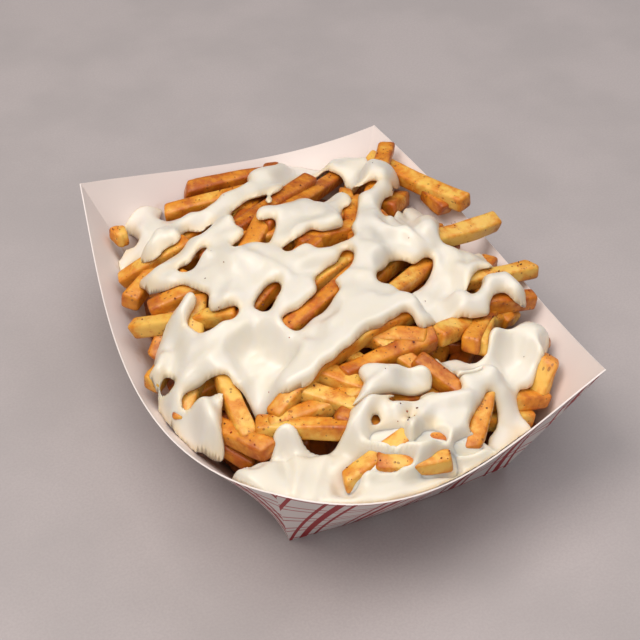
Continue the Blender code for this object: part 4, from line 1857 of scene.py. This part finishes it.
class SauceBlanket:
    """The sauce: a smooth thick sheet that lies over the heap, open where the fries show."""

    LEAST_DEPTH = 0.2

    def __init__(self, pile: Pile, size: SauceSize) -> None:
        """Sets up a fine grid over the heap.

        Args:
            pile: the laid fries.
            size: form of the sauce.
        """
        self.pile, self.size = pile, size
        nx, ny = int(2 * size.half_x / size.pitch) + 1, int(2 * size.half_y / size.pitch) + 1
        self.x = ((np.arange(nx) - (nx - 1) / 2) * size.pitch)[:, None] * np.ones((nx, ny))
        self.y = ((np.arange(ny) - (ny - 1) / 2) * size.pitch)[None, :] * np.ones((nx, ny))
        self.walls = self.fine_walls()
        self.tops = self.fry_tops()
        self.top = self.tops

    def cells(self, reach: float) -> int:
        """Number of cells in a distance.

        Args:
            reach: the distance.

        Returns:
            The number, at least 1.
        """
        return max(1, int(round(reach / self.size.pitch)))

    def fine_walls(self) -> Array:
        """Height of the boat's inside on the fine grid.

        Returns:
            Heights, high outside the rim.
        """
        ground = self.pile.ground
        coarse = np.where(ground.inside, ground.boat, 0.08)
        u = self.x / ground.STEP + ground.HALF_X
        v = self.y / ground.STEP + ground.HALF_Y
        i, j = np.floor(u).astype(int), np.floor(v).astype(int)
        fu, fv = u - i, v - j
        low = coarse[i, j] * (1 - fv) + coarse[i, j + 1] * fv
        high = coarse[i + 1, j] * (1 - fv) + coarse[i + 1, j + 1] * fv
        return low * (1 - fu) + high * fu

    def fry_tops(self) -> Array:
        """Height of the fries with their rounded tops.

        Returns:
            Heights.
        """
        tops = HEAP.core_height(self.x, self.y)
        for fry in self.pile.fries:
            along, across = fry.local(self.x, self.y)
            a, half = fry.width / 2, fry.length / 2
            under = (abs(along) < half) & (abs(across) < a)
            rounding = (1 - np.clip(abs(across) / a, 0, 1) ** 4.2) ** (1 / 4.2)
            top = fry.height(along) + fry.depth / 2 * rounding
            tops = np.where(under, np.maximum(tops, top), tops)
        return tops

    def openings(self, px: Array, py: Array) -> Array:
        """How far each place is from the nearest opening that shows a fry.

        Args:
            px: pixels from the left.
            py: pixels from the top.

        Returns:
            Distances in pixels, negative in the openings.
        """
        px = px + 2.6 * waves(px, py, 30, 33)
        py = py + 2.6 * waves(px, py, 30, 34)
        outside = np.full(px.shape, 60.0)
        for entry in SHOWN_FRIES + (TOP_FRY,):
            outside = soft_min(outside, from_line(px, py, *entry[:4]) - 0.54 * entry[4] - 1.0, 2.5)
        return outside

    def cover(self, px: Array, py: Array) -> Array:
        """How far inside the sauce each place is.

        Args:
            px: pixels from the left.
            py: pixels from the top.

        Returns:
            Distances in pixels, negative in the openings and outside.
        """
        inside = soft_min(from_outline(px, py, SAUCE_EDGE), self.openings(px, py), 3.0)
        inside = spread_up(-spread_up(-inside, 2), 2)
        px = px + 1.6 * waves(px, py, 26, 31)
        py = py + 1.6 * waves(px, py, 26, 32)
        for entry in SAUCE_STRANDS + THIN_STRANDS:
            inside = soft_max(inside, entry[4] / 2 - from_line(px, py, *entry[:4]), 3.0)
        for hole in SAUCE_HOLES:
            inside = soft_min(inside, from_line(px, py, *hole[:4]) - hole[4] / 2, 2.5)
        return inside

    def ridges(self, px: Array, py: Array) -> Array:
        """Height of the ridges where the sauce was poured on.

        Args:
            px: pixels from the left.
            py: pixels from the top.

        Returns:
            Heights in metres.
        """
        total, hollow = np.zeros(px.shape), np.zeros(px.shape)
        for width, height, line in SAUCE_RIDGES:
            near = np.full(px.shape, 1e3)
            for start, end in zip(line, line[1:]):
                near = np.minimum(near, from_line(px, py, *start, *end))
            bead = np.clip(1 - (near / width) ** 2, 0, 1) ** 1.2 * abs(height) * MM
            if height > 0:
                total = soft_max(total, bead, 0.4 * MM)
            else:
                hollow = np.maximum(hollow, bead)
        return total - hollow

    def rim_level(self) -> Array:
        """Height that the pool reaches at the near end, a little under the rim there.

        Returns:
            Heights, by the place across the boat.
        """
        rim = [BOAT.rim_point(0, t) for t in np.linspace(-1, 1, 81)]
        level = np.interp(self.x, [point.x for point in rim], [point.z for point in rim])
        return np.clip(level - self.size.under_rim, self.size.pool_low, self.size.pool_high)

    def envelope(self, depth: Array) -> Array:
        """Smooth sheet over the covered fries, closed over the gaps between them.

        Args:
            depth: how far inside the sauce each place is, in pixels.

        Returns:
            Heights of the sheet's underside.
        """
        low = HEAP.heap_height(self.x, self.y) - self.size.hang
        held = np.maximum(np.where(depth > -1.0, self.tops, low), low)
        closed = spread_up(held, self.cells(4.4 * MM))
        closed = -spread_up(-closed, self.cells(3.2 * MM))
        return blur(closed, self.cells(1.7 * MM), 3)

    def lie(self) -> tuple[Array, Array]:
        """Lays the sauce over the fries, in rounds, because its height moves what the photo's view shows.

        Returns:
            How far inside the sauce each place is, in pixels, and the heights of its underside.
        """
        under = blur(self.tops, 3, 3)
        raised = np.zeros(under.shape)
        heap = HEAP.heap_height(self.x, self.y)
        leaning = spread_up(np.where(self.tops > heap + self.size.leans, self.tops, 0.0), 1)
        for _ in range(4):
            sheet = np.maximum(blur(under, self.cells(3.0 * MM), 2), leaning)
            shown = VIEW.pixels(self.x, self.y, sheet + 0.6 * self.size.thickness + raised)
            raised = 0.5 * (raised + 0.6 * self.ridges(*shown))
            depth = self.cover(*shown)
            under = self.envelope(depth)
        return depth, under

    def blanket_top(self, depth: Array, under: Array) -> Array:
        """Top of the sauce that lies over the fries, with its ridges and lumps.

        Args:
            depth: how far inside the sauce each place is, in pixels.
            under: heights of its underside.

        Returns:
            Heights.
        """
        size = self.size
        px, py = VIEW.pixels(self.x, self.y, under + size.thickness)
        lumps = 0.3 * MM * waves(px, py, 40, 41) + 0.12 * MM * waves(px, py, 15, 42)
        over = under + size.thickness + self.ridges(px, py) + lumps
        shown = blur(np.where(depth > 0, self.tops, 0.0), 1, 1) + size.least
        return soft_max(over, shown, size.least)

    def filled(self, depth: Array, over: Array, walls: Array) -> tuple[Array, Array, Array]:
        """Fills the near end of the boat with the pool, lower where fries stick out of it.

        Args:
            depth: how far inside the sauce each place is, in pixels.
            over: top of the sauce over the fries.
            walls: heights of the boat's inside.

        Returns:
            Top of all the sauce, how far inside the pool each place is in pixels, and the pool's share.
        """
        size = self.size
        level = self.rim_level()
        pixels = VIEW.pixels(self.x, self.y, level)
        pool = from_outline(*pixels, SAUCE_POOL)
        pooled = np.clip(pool / size.pool_shore, 0, 1)
        dip = np.clip(0.5 - self.openings(*pixels) / 8.0, 0, 1) * size.pool_dip
        dip = dip * np.clip((level - walls) / size.pool_wall, 0, 1)
        blanket = np.clip(depth / 4.0 + 0.5, 0, 1)
        swell = 0.7 * MM * waves(*pixels, 34, 51) + self.ridges(*pixels) * 0.8
        surface = level - dip + swell + np.maximum(over - level + dip - swell, 0.0) * blanket
        over = blur(over + (surface - over) * pooled, 1, 2)
        return soft_min(over, np.full(over.shape, size.highest), size.least), pool, pooled

    def build(self) -> bpy.types.Object:
        """Shapes the top and the underside, and joins them along every edge.

        Returns:
            The sauce.
        """
        size = self.size
        depth, under = self.lie()
        walls = self.walls - size.wall_excess
        over, pool, pooled = self.filled(depth, self.blanket_top(depth, under), walls)
        depth = blur(soft_max(depth, pool, 3.0), 1, 5)
        depth = soft_min(depth, (over - size.least - walls) / size.pixel * 0.8, 3.0 - 2.0 * pooled)
        reach = depth * size.pixel
        rounding = size.edge_round * (1 - 0.6 * pooled)
        profile = np.sqrt(np.clip(1 - (1 - np.clip(reach / rounding, 0, 1)) ** 2, 0, 1))
        edge = blur(under + 0.3 * (over - under), 1, 1)
        edge = np.maximum(edge, np.minimum(walls + 0.4 * MM, over))
        top = edge + (over - edge) * profile
        bottom = edge - (edge - under + size.least) * profile
        bottom = np.maximum(bottom, np.minimum(walls + 0.2 * MM, edge))
        self.top = np.where(depth > 0, top, self.tops)
        # How thin the sauce is near its edge; the finish uses this share for painted light passing through
        # the edges.
        thin = np.clip(1 - reach / size.thin_edge, 0, 1)
        item = self.mesh(SauceFields(depth, top, bottom, edge, thin, pooled))
        item.data.materials.append(WhiteSauce().material())
        return item

    def height(self, x: float, y: float) -> float:
        """Height of the sauce, or of the fries where there is none.

        Args:
            x: first coordinate.
            y: second coordinate.

        Returns:
            The height.
        """
        i = int(round((x - self.x[0, 0]) / self.size.pitch))
        j = int(round((y - self.y[0, 0]) / self.size.pitch))
        return float(self.top[i, j])

    def mesh(self, fields: SauceFields) -> bpy.types.Object:
        """Closed mesh between the top and the underside, cut along the line where the depth is zero.

        Args:
            fields: the sauce on its grid.

        Returns:
            The sauce.
        """
        least = np.where(fields.depth >= 0, self.LEAST_DEPTH, -self.LEAST_DEPTH)
        depth = self.largest(np.where(abs(fields.depth) < self.LEAST_DEPTH, least, fields.depth))
        kept = depth > 0
        number = np.full(depth.shape, -1)
        number[kept] = np.arange(kept.sum())
        x, y = self.x[kept], self.y[kept]
        faces_at = [np.stack([x, y, heights[kept]], axis=1) for heights in (fields.top, fields.bottom)]
        cuts = EdgeCuts(depth, (self.x, self.y, fields.edge), 2 * len(x))
        around = kept[:-1, :-1], kept[1:, :-1], kept[1:, 1:], kept[:-1, 1:]
        full = np.logical_and.reduce(around)
        i, j = np.nonzero(full)
        quads = np.stack([number[i, j], number[i + 1, j], number[i + 1, j + 1], number[i, j + 1]], axis=1)
        faces = quads.tolist() + (quads[:, ::-1] + len(x)).tolist()
        for cell in zip(*np.nonzero(np.logical_or.reduce(around) & ~full)):
            faces += self.edge_faces(cell, kept, number, cuts)
        item = mesh_object("sauce_blanket", np.concatenate(faces_at + [np.array(cuts.points)]), faces)
        for name, field, at_edge in (("thin", fields.thin, 1.0), ("pool", fields.pool, 0.0)):
            inner = field[kept]
            store(item, name, np.concatenate([inner, inner, np.full(len(cuts.points), at_edge)]))
        return item

    @staticmethod
    def edge_faces(cell: Cell, kept: Array, number: Array, cuts: EdgeCuts) -> list[list[int]]:
        """Faces of a grid cell that the sauce's edge crosses, above and below.

        Args:
            cell: the cell's first corner.
            kept: whether there is sauce at each place.
            number: number of the top's point at each place.
            cuts: points of the edge.

        Returns:
            The faces.
        """
        i, j = cell
        around = [(i, j), (i + 1, j), (i + 1, j + 1), (i, j + 1)]
        faces = []
        for trio in (around[:3], [around[0], around[2], around[3]]):
            loop: list[tuple[int, bool]] = []
            for here, there in zip(trio, trio[1:] + trio[:1]):
                if kept[here]:
                    loop.append((int(number[here]), True))
                if kept[here] != kept[there]:
                    loop.append((cuts.number(here, there), False))
            if len(loop) >= 3:
                faces.append([at for at, _ in loop])
                faces.append([at + cuts.first // 2 if inner else at for at, inner in reversed(loop)])
        return faces

    def largest(self, depth: Array) -> Array:
        """Drops loose scraps of sauce.

        Args:
            depth: how far inside the sauce each place is.

        Returns:
            The same, negative at the scraps.
        """
        kept = depth > 0
        label = np.where(kept, np.arange(depth.size).reshape(depth.shape), -1)
        for _ in range(2000):
            before = label.copy()
            for axis in (0, 1):
                for way in (-1, 1):
                    label = np.where(kept, np.maximum(label, np.roll(label, way, axis)), -1)
            if (label == before).all():
                break
        names, counts = np.unique(label[kept], return_counts=True)
        small = np.isin(label, names[counts < self.size.scrap]) & kept
        return np.where(small, -self.LEAST_DEPTH, depth)

    @staticmethod
    def dress(item: bpy.types.Object) -> None:
        """Ties the sauce to the frame.

        Args:
            item: the sauce.
        """
        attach(item, "root")
        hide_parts("sauce")


# Loose seasoning


@dataclass(frozen=True)
class CrumbSize:
    """How many crumbs of seasoning lie on the food, and how large they are."""

    on_fries: int = 420
    on_sauce: int = 26
    smallest: float = 0.16 * MM
    largest: float = 0.42 * MM
    pinch: tuple[Pixel, ...] = ((400, 415), (407, 411), (415, 417), (408, 422), (398, 421), (417, 410))
    seed: int = 77


class Crumbs:
    """Crumbs of dried seasoning on the fries, with a few strays and one pinch on the sauce."""

    def __init__(self, pile: Pile, blanket: SauceBlanket, size: CrumbSize) -> None:
        """Picks the places.

        Args:
            pile: the laid fries.
            blanket: the sauce.
            size: number and size of the crumbs.
        """
        self.size = size
        rng = random.Random(size.seed)
        shown = [fry for fry in pile.fries if fry.entry >= 0]
        self.spots: list[tuple[float, float, float, float]] = []
        for _ in range(size.on_fries):
            fry = rng.choice(shown)
            at = fry.point(rng.uniform(-0.48, 0.48) * fry.length)
            across = rng.uniform(-0.36, 0.36) * fry.width
            x, y = at.x - fry.heading.y * across, at.y + fry.heading.x * across
            self.spots.append((x, y, at.z + 0.44 * fry.depth, self.radius(rng)))
        for px, py in size.pinch:
            height = 45.0 * MM
            for _ in range(6):
                spot = VIEW.point(px, py, height)
                height = (height + blanket.height(spot.x, spot.y)) / 2
            self.spots.append((spot.x, spot.y, blanket.height(spot.x, spot.y), size.largest))
        for _ in range(size.on_sauce):
            x, y = rng.uniform(-45, 55) * MM, rng.uniform(-75, 80) * MM
            self.spots.append((x, y, blanket.height(x, y), self.radius(rng)))

    def radius(self, rng: random.Random) -> float:
        """Size of a crumb.

        Args:
            rng: source of chance.

        Returns:
            Its radius.
        """
        return rng.uniform(self.size.smallest, self.size.largest)

    def build(self) -> bpy.types.Object:
        """Makes one master crumb and copies it, turned and stretched, to every place.

        Returns:
            The crumbs as one object.
        """
        bpy.ops.object.select_all(action="DESELECT")
        bpy.ops.mesh.primitive_ico_sphere_add(subdivisions=1, radius=1.0)
        item = bpy.context.object
        item.name = "seasoning_crumbs"
        master = np.array([vert.co[:] for vert in item.data.vertices])
        sides = [tuple(face.vertices) for face in item.data.polygons]
        rng = np.random.default_rng(self.size.seed)
        points, faces = [], []
        for x, y, z, radius in self.spots:
            turned = master @ np.linalg.qr(rng.normal(size=(3, 3)))[0]
            rough = turned * rng.uniform(0.6, 1.3, 3) * rng.uniform(0.8, 1.2, (len(master), 1))
            faces += [tuple(c + len(points) * len(master) for c in side) for side in sides]
            points.append(rough * radius + np.array([x, y, z]))
        mesh = item.data
        mesh.clear_geometry()
        mesh.from_pydata(np.concatenate(points).tolist(), [], faces)
        mesh.materials.append(Seasoning().material())
        return item

    @staticmethod
    def dress(item: bpy.types.Object) -> None:
        """Ties the crumbs to the frame.

        Args:
            item: the crumbs.
        """
        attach(item, "root")


# Floor, light and camera


@dataclass(frozen=True)
class Lamp:
    """One soft lamp: where it hangs, what it points at, its size and its strength."""

    name: str
    place: tuple[float, float, float]
    size: tuple[float, float]
    watts: float
    colour: str = "FFFFFF"
    target: tuple[float, float, float] = (0.0, 0.0, 0.03)

    def build(self) -> bpy.types.Object:
        """Adds the lamp.

        Returns:
            The lamp.
        """
        aim = Vector(self.place) - Vector(self.target)
        turn = aim.to_track_quat("Z", "Y").to_euler()
        bpy.ops.object.light_add(type="AREA", location=self.place, rotation=turn)
        lamp = bpy.context.object
        lamp.name = self.name
        lamp.data.shape = "RECTANGLE"
        lamp.data.size, lamp.data.size_y = self.size
        lamp.data.energy = self.watts
        lamp.data.color = linear(self.colour)[:3]
        return lamp


@dataclass(frozen=True)
class Studio:
    """Plain pale floor with soft lamps."""

    floor_size: float = 6.0
    sky: str = "E6E8EC"
    sky_strength: float = 0.10
    lamps: tuple[Lamp, ...] = (
        Lamp("key_light", (-0.72, -0.05, 1.25), (0.7, 0.7), 8.2, "FFF6EE"),
        Lamp("top_light", (-0.2, -0.05, 1.5), (1.4, 1.4), 15.4, "FFFDFA"),
        Lamp("fill_light", (0.9, 0.3, 1.1), (0.9, 0.9), 4.0, "F8F8FF"),
        Lamp("front_light", (-0.35, -1.1, 1.1), (1.0, 1.0), 7.8, "FFFFFF"),
    )

    def build(self) -> None:
        """Adds the floor, the lamps and the light from all round."""
        bpy.ops.mesh.primitive_plane_add(size=self.floor_size, location=(0.0, 0.0, 0.0))
        floor = bpy.context.object
        floor.name = "floor"
        floor.data.transform(floor.matrix_world)
        floor.matrix_world.identity()
        floor.data.materials.append(Tabletop().material())
        for lamp in self.lamps:
            lamp.build()
        world = bpy.data.worlds.new("soft_light")
        bpy.context.scene.world = world
        world.use_nodes = True
        background = world.node_tree.nodes["Background"]
        background.inputs["Color"].default_value = linear(self.sky)
        background.inputs["Strength"].default_value = self.sky_strength
        bpy.context.scene.view_settings.view_transform = "Standard"


def main() -> None:
    """Builds each piece in order and reports it."""
    logging.basicConfig(level=logging.INFO, format="%(message)s")
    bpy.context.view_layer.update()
    boat = BOAT.build()
    BOAT.dress(boat)
    LOG.info("boat: %d faces", len(boat.data.polygons))
    pile = Pile()
    heap = FriesHeap(pile)
    fries = heap.build()
    heap.dress(fries)
    LOG.info("fries: %d fries, %d faces", len(pile.fries), len(fries.data.polygons))
    blanket = SauceBlanket(pile, SauceSize())
    sauce = blanket.build()
    blanket.dress(sauce)
    LOG.info("sauce: %d faces", len(sauce.data.polygons))
    seasoning = Crumbs(pile, blanket, CrumbSize())
    crumbs = seasoning.build()
    seasoning.dress(crumbs)
    LOG.info("crumbs: %d faces", len(crumbs.data.polygons))
    Studio().build()
    VIEW.camera()


if __name__ == "__main__":
    main()
